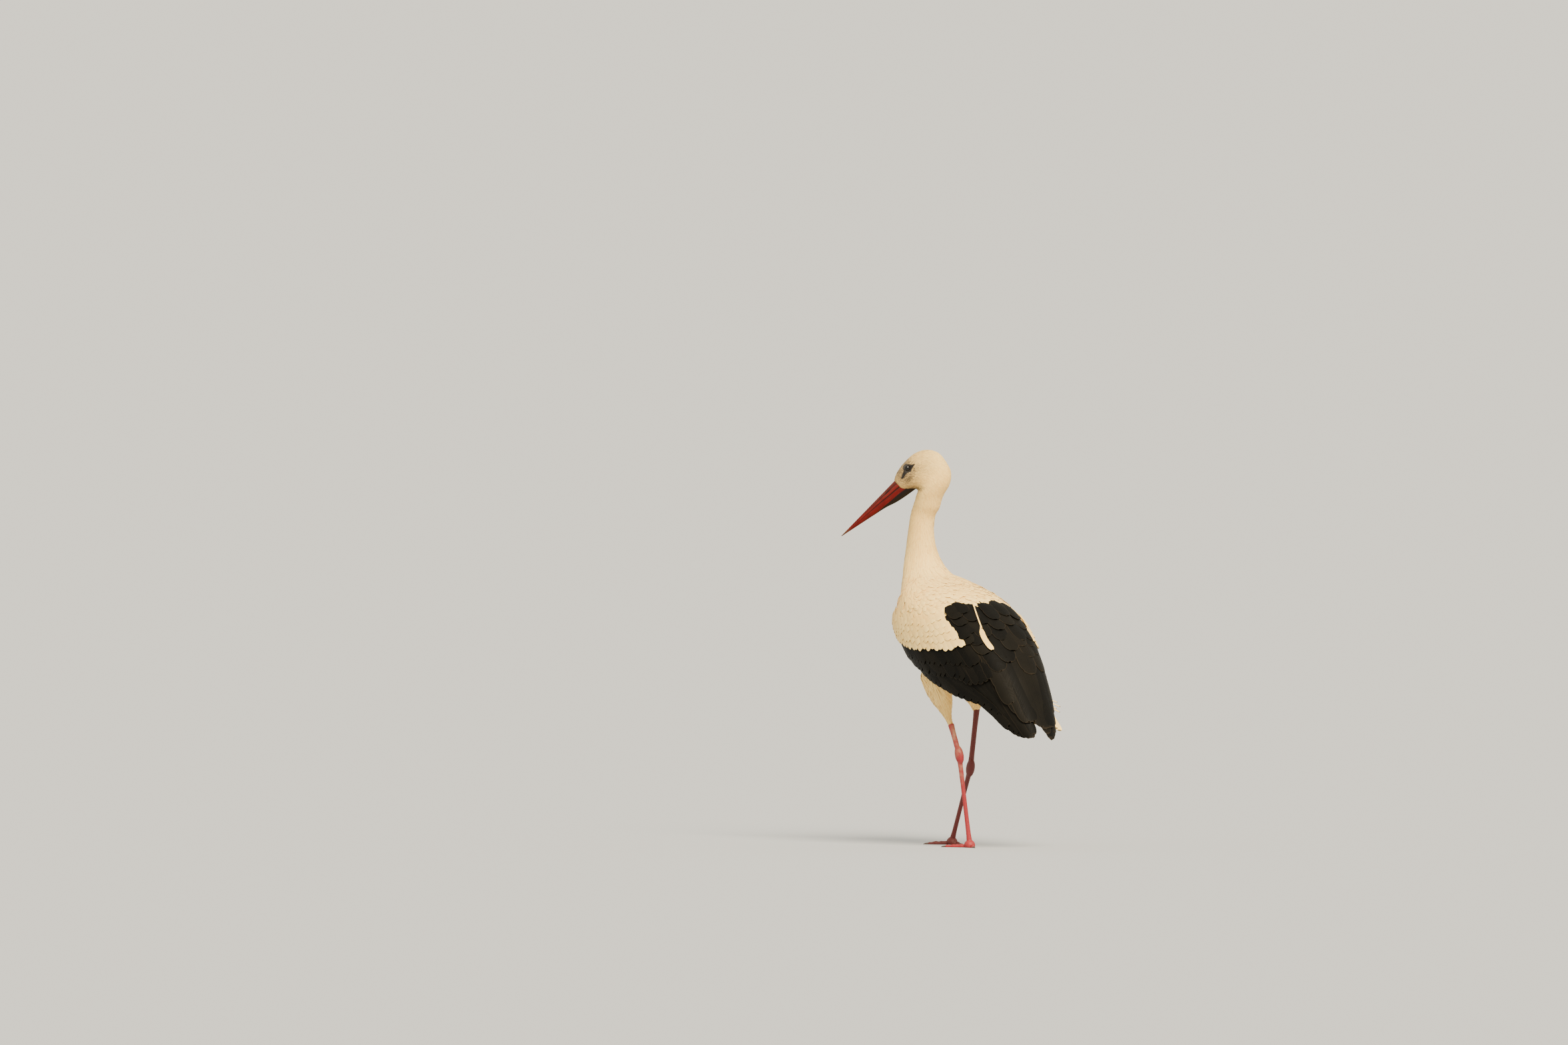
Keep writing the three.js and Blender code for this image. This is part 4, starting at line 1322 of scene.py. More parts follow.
    def shape(self, roots: Roots) -> Shape:
        """The feathers as closed, thin vanes with a ridge.

        Each feather has five stations of three points, its two edges and its ridge, and a point
        at its tip. Its middle line starts a little under the skin, follows the skin along the lie
        of the coat, and rises from it by the lift times the square root of the way along.
        """
        n, k = len(roots), len(STATIONS)
        rng = self.rng
        normal = self.body.ground.settle(roots.at)[1]
        way = level_with(roots.way, normal)
        side = np.cross(normal, way)
        swing = rng.normal(0, 0.1, n)[:, None]
        way = unit(way + side * swing)
        centres, sides, normals = (np.empty((n, k + 1, 3)) for _ in range(3))
        at, before = roots.at, 0.0
        for i, s in enumerate([*STATIONS, 1.0]):
            at, normal = self.body.ground.settle(at + way * ((s - before) * roots.length)[:, None])
            way = level_with(way, normal)
            rise = roots.lift * s**0.7 - 0.6
            centres[:, i] = at + normal * rise[:, None]
            sides[:, i], normals[:, i] = np.cross(normal, way), normal
            before = s
        point = roots.point.clip(0, 1)[:, None]
        half = roots.width[:, None] / 2 * (ROUND_WIDTHS * (1 - point) + POINTED_WIDTHS * point)
        roll = rng.normal(0, 0.07, (n, 1))
        across = sides[:, :k] * half[..., None]
        tilt = normals[:, :k] * (half * roll)[..., None]
        droop = normals[:, :k] * (half * 0.1)[..., None]
        thick = normals[:, :k] * (0.2 + 0.01 * roots.width)[:, None, None]
        sections = np.stack([centres[:, :k] + across + tilt - droop,
                             centres[:, :k] + thick,
                             centres[:, :k] - across - tilt - droop], axis=2)
        points = np.concatenate([sections.reshape(n, 3 * k, 3), centres[:, k:]], axis=1)
        left, top, right = 0, 1, 2
        quads = [[3 * i + a, 3 * i + b, 3 * i + 3 + b, 3 * i + 3 + a]
                 for i in range(k - 1) for a, b in ((left, top), (top, right), (right, left))]
        end, tip = 3 * (k - 1), 3 * k
        tris = [[left, right, top], [end + left, end + top, tip], [end + top, end + right, tip],
                [end + right, end + left, tip]]
        turned = sides[:, :k] * self.ROUND
        facing = np.stack([normals[:, :k] + turned, normals[:, :k], normals[:, :k] - turned], axis=2)
        facing = np.concatenate([facing.reshape(n, 3 * k, 3), normals[:, k:]], axis=1).reshape(-1, 3)
        shift = (np.arange(n) * (3 * k + 1))[:, None, None]
        along = np.append(np.repeat(STATIONS, 3), 1.0)
        across = np.append(np.tile([1.0, 0.5, 0.0], k), 0.5)
        vane = np.tile(np.stack([along, across], -1), (n, 1))
        each = 3 * k + 1
        marks = {name: np.repeat(value, each) for name, value in self.body.marks(roots.at).items()}
        marks["tone"] = np.repeat(rng.random(n), each)
        bake = np.repeat(self.unwrap(roots.at), each, axis=0) + self.PATCH * (vane - 0.5)
        return Shape(points.reshape(-1, 3), (np.array(quads) + shift).reshape(-1, 4),
                     (np.array(tris) + shift).reshape(-1, 3), vane, bake, unit(facing), marks)

    def unwrap(self, places: Array) -> Array:
        """Places on a flat unwrap of the skin: round the middle line, and along it."""
        _, journey = self.body.flow(places)
        i = np.searchsorted(self.body.journey, journey).clip(0, len(self.body.spine) - 1)
        way = self.body.way[i]
        out = places - self.body.spine[i]
        left = np.array([1.0, 0, 0])
        back = unit(np.cross(way, left))
        round_it = np.arctan2(out @ left, dot(out, back))
        flat = np.stack([round_it / (2 * np.pi) + 0.5, journey / self.body.journey[-1]], -1)
        return 0.01 + 0.98 * flat.clip(0, 1)

    def add(self, material: Material) -> None:
        """Shows the coat as one piece for each part of the body."""
        at = self.roots.at
        t, _, _ = WINGS.place_of(at)
        out, up, _ = head_place_of(at)
        head, thigh = up > self.HEAD_FROM, (up < self.THIGH_TO) & (t < self.RUMP_FROM)
        part = np.select(
            [head & (out > self.FACE_FROM), head, up > self.NECK_FROM, thigh & (at[:, 0] > 0),
             thigh, t < self.BACK_FROM],
            ["coat_face", "coat_head", "coat_neck", "coat_thigh_left", "coat_thigh_right",
             "coat_breast"],
            "coat_back")
        for name in np.unique(part):
            shape = self.shape(self.roots.kept(part == name))
            add_piece(str(name), mesh_of(str(name), shape), material, "white_plumage")


# ---- the large feathers ----
@dataclass
class Row:
    """Large feathers that lie side by side, as arrays with one entry for each feather.

    Roots and tips are places on the surface that they lie on. The lay is the height of the root
    and of the tip over that surface. The first edge of each feather is tucked under its neighbour.
    """

    root: Array
    tip: Array
    width: Array
    lay: Array
    square: float = 0.0  # 0 for a long round tip, 1 for a short square one
    narrow_root: float = 0.5
    tilt: float = 1.2  # how far the free edge stands over the tucked one
    camber: float = 1.0
    shaft: float = 0.0  # how far the shaft lies off the middle, as a share of the half width
    notches: float = 0.25  # how much the edges are frayed
    bend: float = 0.0  # degrees that the middle bows away from the back
    stray: float = 0.0  # millimetres by which tips are out of line


class Vanes:
    """Large feathers laid on a surface, each a closed thin blade with a shaft."""

    ROWS = 26
    CROWDING = 1.35  # how much closer the rows of points lie at the tip than at the root
    THICKNESS = 0.8
    SHAFT = 0.45  # how far the shaft stands up at the root
    UNEVEN = 0.35  # how unevenly feathers are raised
    ROUND = 0.13  # how far the edges of a feather look aside
    ACROSS = np.array([-1, -0.8, -0.5, -0.1, 0, 0.1, 0.5, 0.8, 1])

    def __init__(self, surface: BodySurface | TailPlane, side: Side = Side.LEFT) -> None:
        """Feathers on one side of the bird; the right side mirrors their places."""
        self.surface, self.side = surface, side
        self.rng = np.random.default_rng(SEED + 7 * side)

    def outline(self, s: Array, row: Row, length: Array) -> Array:
        """Half width at each station, as a share: it swells from the root and is cut at the tip."""
        rise = row.narrow_root + (1 - row.narrow_root) * smoothstep(s, 0, 0.3)[None]
        tip = (1.0 - 0.62 * row.square) * row.width / length
        past = ((s[None] - 1 + tip[:, None]) / tip[:, None]).clip(0, 1)
        return rise * (1 - past ** (2.2 + 1.2 * row.square)) ** (0.5 - 0.1 * row.square)

    def shape(self, row: Row, part: int = 0, parts: int = 1) -> Shape:
        """All feathers of a row.

        A feather's middle line runs from its root to its tip over the surface. Points across it
        lie at their distance from that line, raised by a camber that is highest at the shaft and
        by a tilt that lifts the free edge over the next feather.

        Args:
            row: the feathers.
            part: which strip of the baked map the row fills.
            parts: how many strips the map has.

        Returns:
            Their points, faces and maps.
        """
        n, r, c = len(row.root), self.ROWS, len(self.ACROSS)
        s = 1 - (1 - np.linspace(0, 1, r)) ** self.CROWDING
        tip = row.tip + row.stray * self.rng.normal(0, 1, (n, 2)) * [1.0, 0.25]
        t = row.root[:, :1] + (tip[:, :1] - row.root[:, :1]) * s
        a = row.root[:, 1:] + (tip[:, 1:] - row.root[:, 1:]) * s + row.bend * np.sin(np.pi * s)
        length = np.abs(tip[:, 0] - row.root[:, 0]) + 1
        half = row.width[:, None] / 2 * self.outline(s, row, length)
        fray = 1 - row.notches * 0.3 * (self.rng.random((n, r, 2)) < 0.1)
        frayed = half[..., None] * fray
        u = self.ACROSS[None, None, :]
        reach = np.where(u < 0, frayed[..., :1], frayed[..., 1:])
        off = row.shaft * (1 - np.abs(u)) * half[..., None]
        side = self.side
        angle = a[..., None] + (u * reach + off) * self.surface.per_mm(t, a * side)[..., None]
        lay = row.lay[:, :1] + (row.lay[:, 1:] - row.lay[:, :1]) * s
        lean = self.rng.normal(0, self.UNEVEN, (n, 1, 1))
        wave = lean + 0.3 * np.sin(5 * s + self.rng.random((n, 1)) * 6)[..., None]
        out = lay[..., None] + row.camber * (1 - u * u) + row.tilt * u + wave
        shaft = self.SHAFT * (np.abs(u) < 0.05) * (1 - s[None, :, None])
        top = self.surface.point(t[..., None], side * angle, out + shaft)
        low = self.surface.point(t[..., None], side * angle, out - self.THICKNESS)
        points = np.concatenate([top.reshape(n, r * c, 3), low.reshape(n, r * c, 3)], axis=1)
        each = 2 * r * c
        quads = (self.blade()[None] + (np.arange(n) * each)[:, None, None]).reshape(-1, 4)
        vane, bake = self.maps(n, s, part, parts)
        tone = np.repeat(self.rng.random(n), each)
        zero = np.zeros(n * each)
        return Shape(points.reshape(-1, 3), quads, vane=vane, bake=bake,
                     facing=self.facing(t, side * angle, u),
                     marks={"tone": tone, "soot": zero, "dust": zero})

    def blade(self) -> Array:
        """The faces of one feather: its top side, its lower side and the edge between them."""
        r, c = self.ROWS, len(self.ACROSS)
        upper = grid_quads(r, c)
        lower = grid_quads(r, c)[:, ::-1] + r * c
        rim = np.concatenate([np.arange(c), np.arange(1, r) * c + c - 1,
                              (r - 1) * c + np.arange(c - 2, -1, -1), np.arange(r - 2, 0, -1) * c])
        following = np.roll(rim, -1)
        edge = np.stack([rim, rim + r * c, following + r * c, following], -1)
        quads = np.concatenate([upper, lower, edge])
        return quads[:, ::-1] if self.side is Side.LEFT else quads

    def maps(self, n: int, s: Array, part: int, parts: int) -> tuple[Array, Array]:
        """Each point's place on its feather, and its place on the baked map.

        The baked map gives each of the n feathers a square of its own within the row's strip.
        """
        r, c = self.ROWS, len(self.ACROSS)
        along = np.broadcast_to(s[:, None], (r, c)).ravel()
        across = np.broadcast_to(0.5 + 0.5 * self.ACROSS, (r, c)).ravel()
        vane = np.tile(np.stack([along, across], -1), (2 * n, 1))
        cells = int(np.ceil(np.sqrt(n)))
        cell = np.stack([np.arange(n) % cells, np.arange(n) // cells], -1) / cells
        bake = np.repeat(cell, 2 * r * c, axis=0) + (0.04 + 0.92 * vane) / cells
        bake[:, 1] = (bake[:, 1] + part) / parts
        return vane, bake

    def facing(self, t: Array, angle: Array, u: Array) -> Array:
        """Which way each point looks: out of the surface, and a little aside at a blade's edges."""
        def step(dt: float, da: float) -> Array:
            """Points on the surface, moved down it and round it."""
            return self.surface.point(t[..., None] + dt, angle + da)

        down, aside = step(1, 0) - step(-1, 0), step(0, 0.5) - step(0, -0.5)
        facing = unit(np.cross(aside, down)) + self.ROUND * self.side * u[..., None] * unit(aside)
        facing = facing.reshape(len(t), self.ROWS * len(self.ACROSS), 3)
        return unit(np.tile(facing, (1, 2, 1)).reshape(-1, 3))

    def rows(self, rows: Sequence[Row]) -> Shape:
        """Several rows as one shape, each in its own strip of the baked map."""
        return Shape.joined(self.shape(row, i, len(rows)) for i, row in enumerate(rows))


def pairs(*places: Sequence[float]) -> Array:
    """Places as an array with one row each."""
    return np.array(places, float)


def along_line(line: Keys, count: int) -> Array:
    """Places spaced evenly along a line of [t, angle] places."""
    line = np.array(line, float)
    steps = np.hypot(np.diff(line[:, 0]), 1.9 * np.diff(line[:, 1]))
    at = np.concatenate([[0], np.cumsum(steps)])
    wanted = np.linspace(0, at[-1], count)
    return np.stack([np.interp(wanted, at, line[:, 0]), np.interp(wanted, at, line[:, 1])], -1)


def row_of(tips: Array, length: float, lean: float, width: float | Array,
           lay: Sequence[float], **options: float) -> Row:
    """A row of alike feathers given by their tips.

    Args:
        tips: places of the tips.
        length: how far ahead of its tip each root lies.
        lean: how many degrees nearer the back the root lies.
        width: full width.
        lay: heights of root and tip over the surface.
        **options: other fields of the row.

    Returns:
        The row.
    """
    n = len(tips)
    root = tips - np.array([length, lean])
    return Row(root, tips, np.broadcast_to(np.array(width, float), n).copy(),
               np.tile(np.array(lay, float), (n, 1)), **options)


class Wing:
    """One folded wing's large feathers, from the lowest layer to the topmost."""

    BLACK_REPLACED = ("greater_coverts", "secondaries", "primaries", "tertials", "scapulars")
    FIRST = -158.0  # t of the foremost roots
    SHORTEST = 20.0  # from that place to the foremost tips

    def __init__(self, side: Side, lower_rim: Curve) -> None:
        """Keeps the wing's side and the angles of its lower rim."""
        self.side, self.lower_rim = side, lower_rim
        self.vanes = Vanes(WINGS, side)

    def primaries(self) -> Row:
        """Long pointed feathers whose tips come out last, under the tertials."""
        if self.side is Side.LEFT:
            tips = pairs((330, 93), (343, 93), (356, 91), (369, 87), (380, 81), (390, 73), (397, 62),
                         (399, 50), (394, 37))
        else:
            tips = pairs((312, 72), (330, 64), (346, 58), (362, 53), (377, 48), (390, 42), (400, 35),
                         (407, 28), (404, 20), (396, 11))
        return row_of(tips, 190, 10, 26, (-9, -4), square=0.1, shaft=-0.35)

    def secondaries(self) -> Row:
        """The trailing feathers, whose tips make the wing's lower edge."""
        u = np.linspace(0, 1, 15)
        tip_t = 60 + 280 * u
        tips = np.stack([tip_t, self.lower_rim(tip_t) - 7], -1)
        roots = np.stack([-110 + 164 * u, 113 - 22 * u], -1)
        return Row(roots, tips, np.full(15, 31.0), np.tile([-6.5, -3.2], (15, 1)), square=0.35,
                   tilt=0.9, shaft=-0.2, stray=0.8)

    def greater_coverts(self) -> Row:
        """Squared feathers over the secondaries' roots, in an even row that turns up behind."""
        line = [(-40, 133), (-16, 129), (30, 119), (79, 107), (110, 99), (136, 92), (160, 86),
                (190, 83), (212, 78), (228, 66), (232, 52)]
        tips = along_line(line, 23)
        lean = np.interp(tips[:, 0], [-40, 120, 232], [2, 6, 14])
        row = row_of(tips, 118, 0, 30, (-5.5, -1.6), square=0.6, tilt=0.8, shaft=-0.12,
                     stray=1.2)
        row.root[:, 1] -= lean
        return row

    def middle_coverts(self) -> Row:
        """A shorter black row over the greater coverts."""
        line = [(-20, 120), (30, 108), (78, 96), (112, 86), (142, 76), (170, 68), (186, 58)]
        return row_of(along_line(line, 16), 84, 4, 26, (-4.0, -0.4), square=0.5, tilt=0.8,
                      stray=1.8)

    def tertials(self) -> Row:
        """Broad long feathers that cover the folded wing's rear."""
        if self.side is Side.LEFT:
            tips = pairs((312, 46), (342, 38.5), (368, 32), (370, 18), (384, 4))
            roots = pairs((112, 34), (122, 30), (130, 25), (140, 16), (150, 7))
        else:
            tips = pairs((312, 44), (340, 38), (376, 29), (384, 19), (387, 6))
            roots = pairs((112, 34), (122, 30), (130, 24), (140, 14), (150, 5))
        return Row(roots, tips, np.array([45, 46, 46, 46, 44.0]), np.tile([-5.0, 0.2], (5, 1)),
                   square=0.3, shaft=-0.1)

    def scapulars(self) -> list[Row]:
        """Broad feathers from the shoulder over the tertials' roots, from the lowest layer up."""
        if self.side is Side.LEFT:
            layers = ([(232, 33), (219, 15)], [(178, 38), (205, 17), (190, 5)],
                      [(150, 38), (140, 27), (158, 10)], [(135, 46), (112, 38), (128, 7), (100, 18)],
                      [(116, 47), (80, 40), (84, 26), (92, 5)], [(56, 40), (50, 30)])
        else:
            layers = ([(236, 33), (253, 7)], [(190, 30), (206, 14)], [(170, 24), (176, 8)],
                      [(150, 26), (159, 11)], [(118, 24), (112, 6)], [(84, 22), (78, 8)])
        rows = []
        for layer, tips in enumerate(layers):
            tips = pairs(*tips)
            length = np.interp(tips[:, 0], [50, 120, 250], [55, 96, 150])
            width = np.interp(tips[:, 0], [50, 120, 250], [34, 42, 50])
            row = row_of(tips, 0, 0, width, (-4, 0.4 + 0.55 * layer), square=0.25, tilt=0.7)
            row.root[:, 0] -= length
            rows.append(row)
        return rows

    def streaks(self) -> list[Row]:
        """The left wing's one white shoulder feather: a narrow stem that opens into a leaf."""
        if self.side is Side.RIGHT:
            return []
        stem = Row(pairs((24, 15.5)), pairs((112, 26.5)), np.array([3.2]), np.array([[3.6, 5.0]]),
                   square=0.8, narrow_root=1.0, tilt=0.2, camber=0.6, notches=0.0)
        leaf = Row(pairs((102, 25.6)), pairs((178, 29.5)), np.array([12.5]), np.array([[3.8, 4.6]]),
                   narrow_root=0.15, tilt=0.3, camber=0.8, notches=0.0, bend=3.4)
        return [stem, leaf]

    def white_rim(self) -> Row:
        """The last row of white coverts, scalloped over the black ones."""
        line = [(-96, 126), (-72, 118.5), (-33, 109.5), (10, 98.5), (52, 88), (84, 80), (105, 72),
                (115, 64)]
        line += [(124, 57)] if self.side is Side.LEFT else [(131, 62), (144, 54), (150, 45), (150, 37)]
        return row_of(along_line(line, 20), 46, 3, 22, (0.0, 2.2), square=0.35, notches=0.15,
                      camber=1.4, stray=1.8)

    def white_lower_rows(self) -> list[Row]:
        """More rows of white coverts in front of the rim, each over the one behind it."""
        rows = []
        last = (118, 59) if self.side is Side.LEFT else (146, 46)
        # Each row: how far ahead it lies, its feathers' width and number, and its roots' height.
        for ahead, width, count, root in ((22, 22, 17, 0.5), (44, 21, 16, 0.5), (66, 19, 15, 0.5),
                                          (88, 18, 14, -4.5)):
            line = [(max(-100 - 0.8 * ahead, self.FIRST + self.SHORTEST), 122), (-33 - ahead, 108),
                    (10 - ahead, 97.5), (55 - ahead, 86.5), (90 - ahead, 76), (114 - ahead, 62),
                    (last[0] - ahead, last[1])]
            row = row_of(along_line(line, count), 40, 2, width, (root, 2.8), square=0.3,
                         notches=0.15, camber=1.4, stray=2.6)
            row.root[:, 0] = np.maximum(row.root[:, 0], self.FIRST)
            row.tip[:, 0] = np.maximum(row.tip[:, 0], self.FIRST + self.SHORTEST)
            rows.append(row)
        return rows

    def add(self, white: Material, black: Material) -> None:
        """Shows the wing as two black pieces and a white one."""
        name = "wing_" + self.side.name.lower()
        flight = [self.primaries(), self.secondaries(), self.greater_coverts(),
                  self.middle_coverts()]
        add_piece(name + "_flight", mesh_of(name + "_flight", self.vanes.rows(flight)), black,
                  "black_plumage", *(f"{name}_{group}" for group in self.BLACK_REPLACED[:3]))
        upper = [self.tertials(), *self.scapulars()]
        add_piece(name + "_upper", mesh_of(name + "_upper", self.vanes.rows(upper)), black,
                  "black_plumage", *(f"{name}_{group}" for group in self.BLACK_REPLACED[3:]))
        rows = [self.white_rim(), *self.white_lower_rows(), *self.streaks()]
        add_piece(name + "_coverts", mesh_of(name + "_coverts_row", self.vanes.rows(rows)), white,
                  "white_plumage")


LEFT_RIM = Curve([*zip(WING_LOWER_RIM.x, WING_LOWER_RIM.y), (300, 94), (340, 96), (370, 88),
                  (394, 66)])
RIGHT_RIM = Curve([*zip(WING_LOWER_RIM.x, WING_LOWER_RIM.y), (295, 82), (330, 66), (360, 58),
                   (388, 52), (408, 40)])


class Tail:
    """Twelve white tail feathers and the soft ones over and under their roots."""

    def rows(self) -> list[Row]:
        """The fan, topmost feathers in the middle, with coverts above and wisps below."""
        u = np.linspace(-1, 1, 12)
        tips = np.stack([356 + 15 * u * u * (u < 0), -19 + 44 * u], -1)
        roots = np.stack([np.full(12, 190.0), -8 + 38 * u], -1)
        fan = Row(roots, tips, np.full(12, 26.0), np.stack([-1 - 2 * np.abs(u), -2.5 * np.abs(u)], -1),
                  square=0.4, tilt=0.0)
        v = np.linspace(-1, 1, 9)
        over = Row(np.stack([np.full(9, 190.0), 18 * v], -1),
                   np.stack([290 - 12 * v * v, -6 + 34 * v], -1), np.full(9, 26.0),
                   np.stack([3 + 0 * v, 3 - 2 * np.abs(v)], -1), tilt=0.0)
        wisps = Row(
            pairs((240, -44), (246, -46), (250, -47), (256, -48), (262, -46), (268, -50)),
            pairs((272, -92), (282, -101), (279, -88), (293, -106), (297, -95), (306, -101)),
            np.array([9, 11, 9, 12, 10, 12.0]),
            pairs((-6, 1), (-6, 4), (-7, 0), (-7, 2), (-8, -3), (-9, -4)),
            narrow_root=0.3, tilt=0.0, camber=1.2, bend=6.0, stray=2.0)
        return [fan, over, wisps]

    def add(self, white: Material) -> None:
        """Shows the tail."""
        add_piece("tail_fan", mesh_of("tail_fan", Vanes(TAIL).rows(self.rows())), white,
                  "white_plumage", "tail")


# ---- bill and eyes ----
def head_place_of(places: Array) -> tuple[Array, Array, Array]:
    """Distances out along the head's plane, up, and to the head's left."""
    rel = places - place(HEAD_AT[0], HEAD_AT[1], 0)
    return rel @ HEAD_AHEAD, rel[..., 2], rel @ HEAD_LEFT


@dataclass(frozen=True)
class Bill:
    """The bill in two halves, from sections down its straight ridge.

    Each section is [distance from the tip, depth of the upper half, whole depth, half width].
    """

    tip: tuple[float, float] = (270.6, 738.6)
    fall: float = np.radians(45.9)
    upper: Curve = Curve([[0, 0.8], [7, 1.6], [24, 3.4], [55, 6.4], [90, 9], [122, 11.6],
                          [150, 14.5], [176, 17], [205, 24]])
    whole: Curve = Curve([[0, 1.8], [7, 3.2], [24, 7], [55, 14], [90, 22], [122, 29.5], [150, 39],
                          [176, 45], [205, 50]])
    half: Curve = Curve([[0, 1.1], [7, 2], [24, 3.6], [55, 5.6], [90, 7.8], [122, 10], [150, 12.2],
                         [176, 13.4], [205, 14]])
    longest: float = 205.0
    shown: float = 180.0  # from the tip to the forehead's feathers

    def at(self, d: Array, depth: Array, left: Array) -> Array:
        """Points at a distance from the tip, below the ridge and to the head's left."""
        cos, sin = np.cos(self.fall), np.sin(self.fall)
        return on_head(self.tip[0] - d * cos - depth * sin, self.tip[1] + d * sin - depth * cos,
                       left)

    def holds(self, out: Array, up: Array) -> Array:
        """Whether places of the head's plane lie within the bill's outline."""
        cos, sin = np.cos(self.fall), np.sin(self.fall)
        x, y = out - self.tip[0], up - self.tip[1]
        d, depth = -x * cos + y * sin, -x * sin - y * cos
        return (d < self.shown - 0.32 * depth) & (depth > -2) & (depth < self.whole(d) + 1)

    def shape(self, is_upper: bool) -> Shape:
        """One half as a closed solid.

        Across the upper half the surface is half an ellipse from edge to edge with a shallow
        groove along each side, in which the nostril is a slit; the lower half is the same turned
        over, a little narrower, with a low keel.
        """
        rows, sides = 110, 44
        d = (self.longest * np.linspace(0, 1, rows) ** 1.3)[:, None]
        turn = np.linspace(-np.pi / 2, np.pi / 2, sides)[None]
        split, whole, half = self.upper(d), self.whole(d), self.half(d)
        aside = np.abs(turn)
        if is_upper:
            groove = np.exp(-np.square((aside - 0.9) / 0.14)) * smoothstep(d, 45, 100)
            slit = np.exp(-np.square((aside - 0.92) / 0.09)) * np.exp(-np.square((d - 150) / 8) ** 2)
            sink = 0.7 * groove + 1.5 * slit
            left = (half - sink) * np.sin(turn) * (1 - 0.05 * smoothstep(aside, 1.4, 1.57))
            depth = split * (1 - np.cos(turn)) + 0.6 * sink
            depth = np.minimum(depth, split - 0.15)
            down = 1 - np.cos(turn) + 0 * d
            shade = 0.75 * groove * smoothstep(d, 60, 130) + slit
        else:
            narrow = 0.93 - 0.12 * np.cos(turn) ** 8
            left = half * narrow * np.sin(turn)
            tuck = 0.6
            depth = split - tuck + (whole - split + tuck) * np.cos(turn) ** 0.92
            down = np.cos(turn) + 0 * d
            shade = 0 * d + smoothstep(aside, 1.45, 1.56)
        around = self.at(np.broadcast_to(d, left.shape), depth, left)
        inner = np.linspace(1, 0, 8)[None, 1:-1]
        roof = self.at(np.broadcast_to(d, (rows, 6)), np.repeat(depth[:, -1:], 6, 1) + 0 * inner,
                       left[:, -1:] * (2 * inner - 1))
        shape = tube(np.concatenate([around, roof], axis=1))
        along = np.broadcast_to(d / self.shown, (rows, sides + 6))
        down = np.broadcast_to(down, (rows, sides))
        down = np.concatenate([down, np.repeat(down[:, -1:] + 0 * d, 6, 1)], 1)
        vane = np.stack([along, down], -1).reshape(-1, 2)
        shape.vane = np.concatenate([vane, vane[:1], vane[-1:]])
        dark = np.concatenate([np.broadcast_to(shade, (rows, sides)), np.ones((rows, 6))], 1).ravel()
        shape.marks = {"shade": np.concatenate([dark, dark[:1], dark[-1:]]).clip(0, 1)}
        return shape

    def add(self) -> None:
        """Shows both halves."""
        for name, is_upper in (("bill_upper", True), ("bill_lower", False)):
            mesh = mesh_of(name + "_horn", self.shape(is_upper))
            add_piece(name + "_horn", mesh, Horn().material(is_upper), "bill", name)


BILL = Bill()


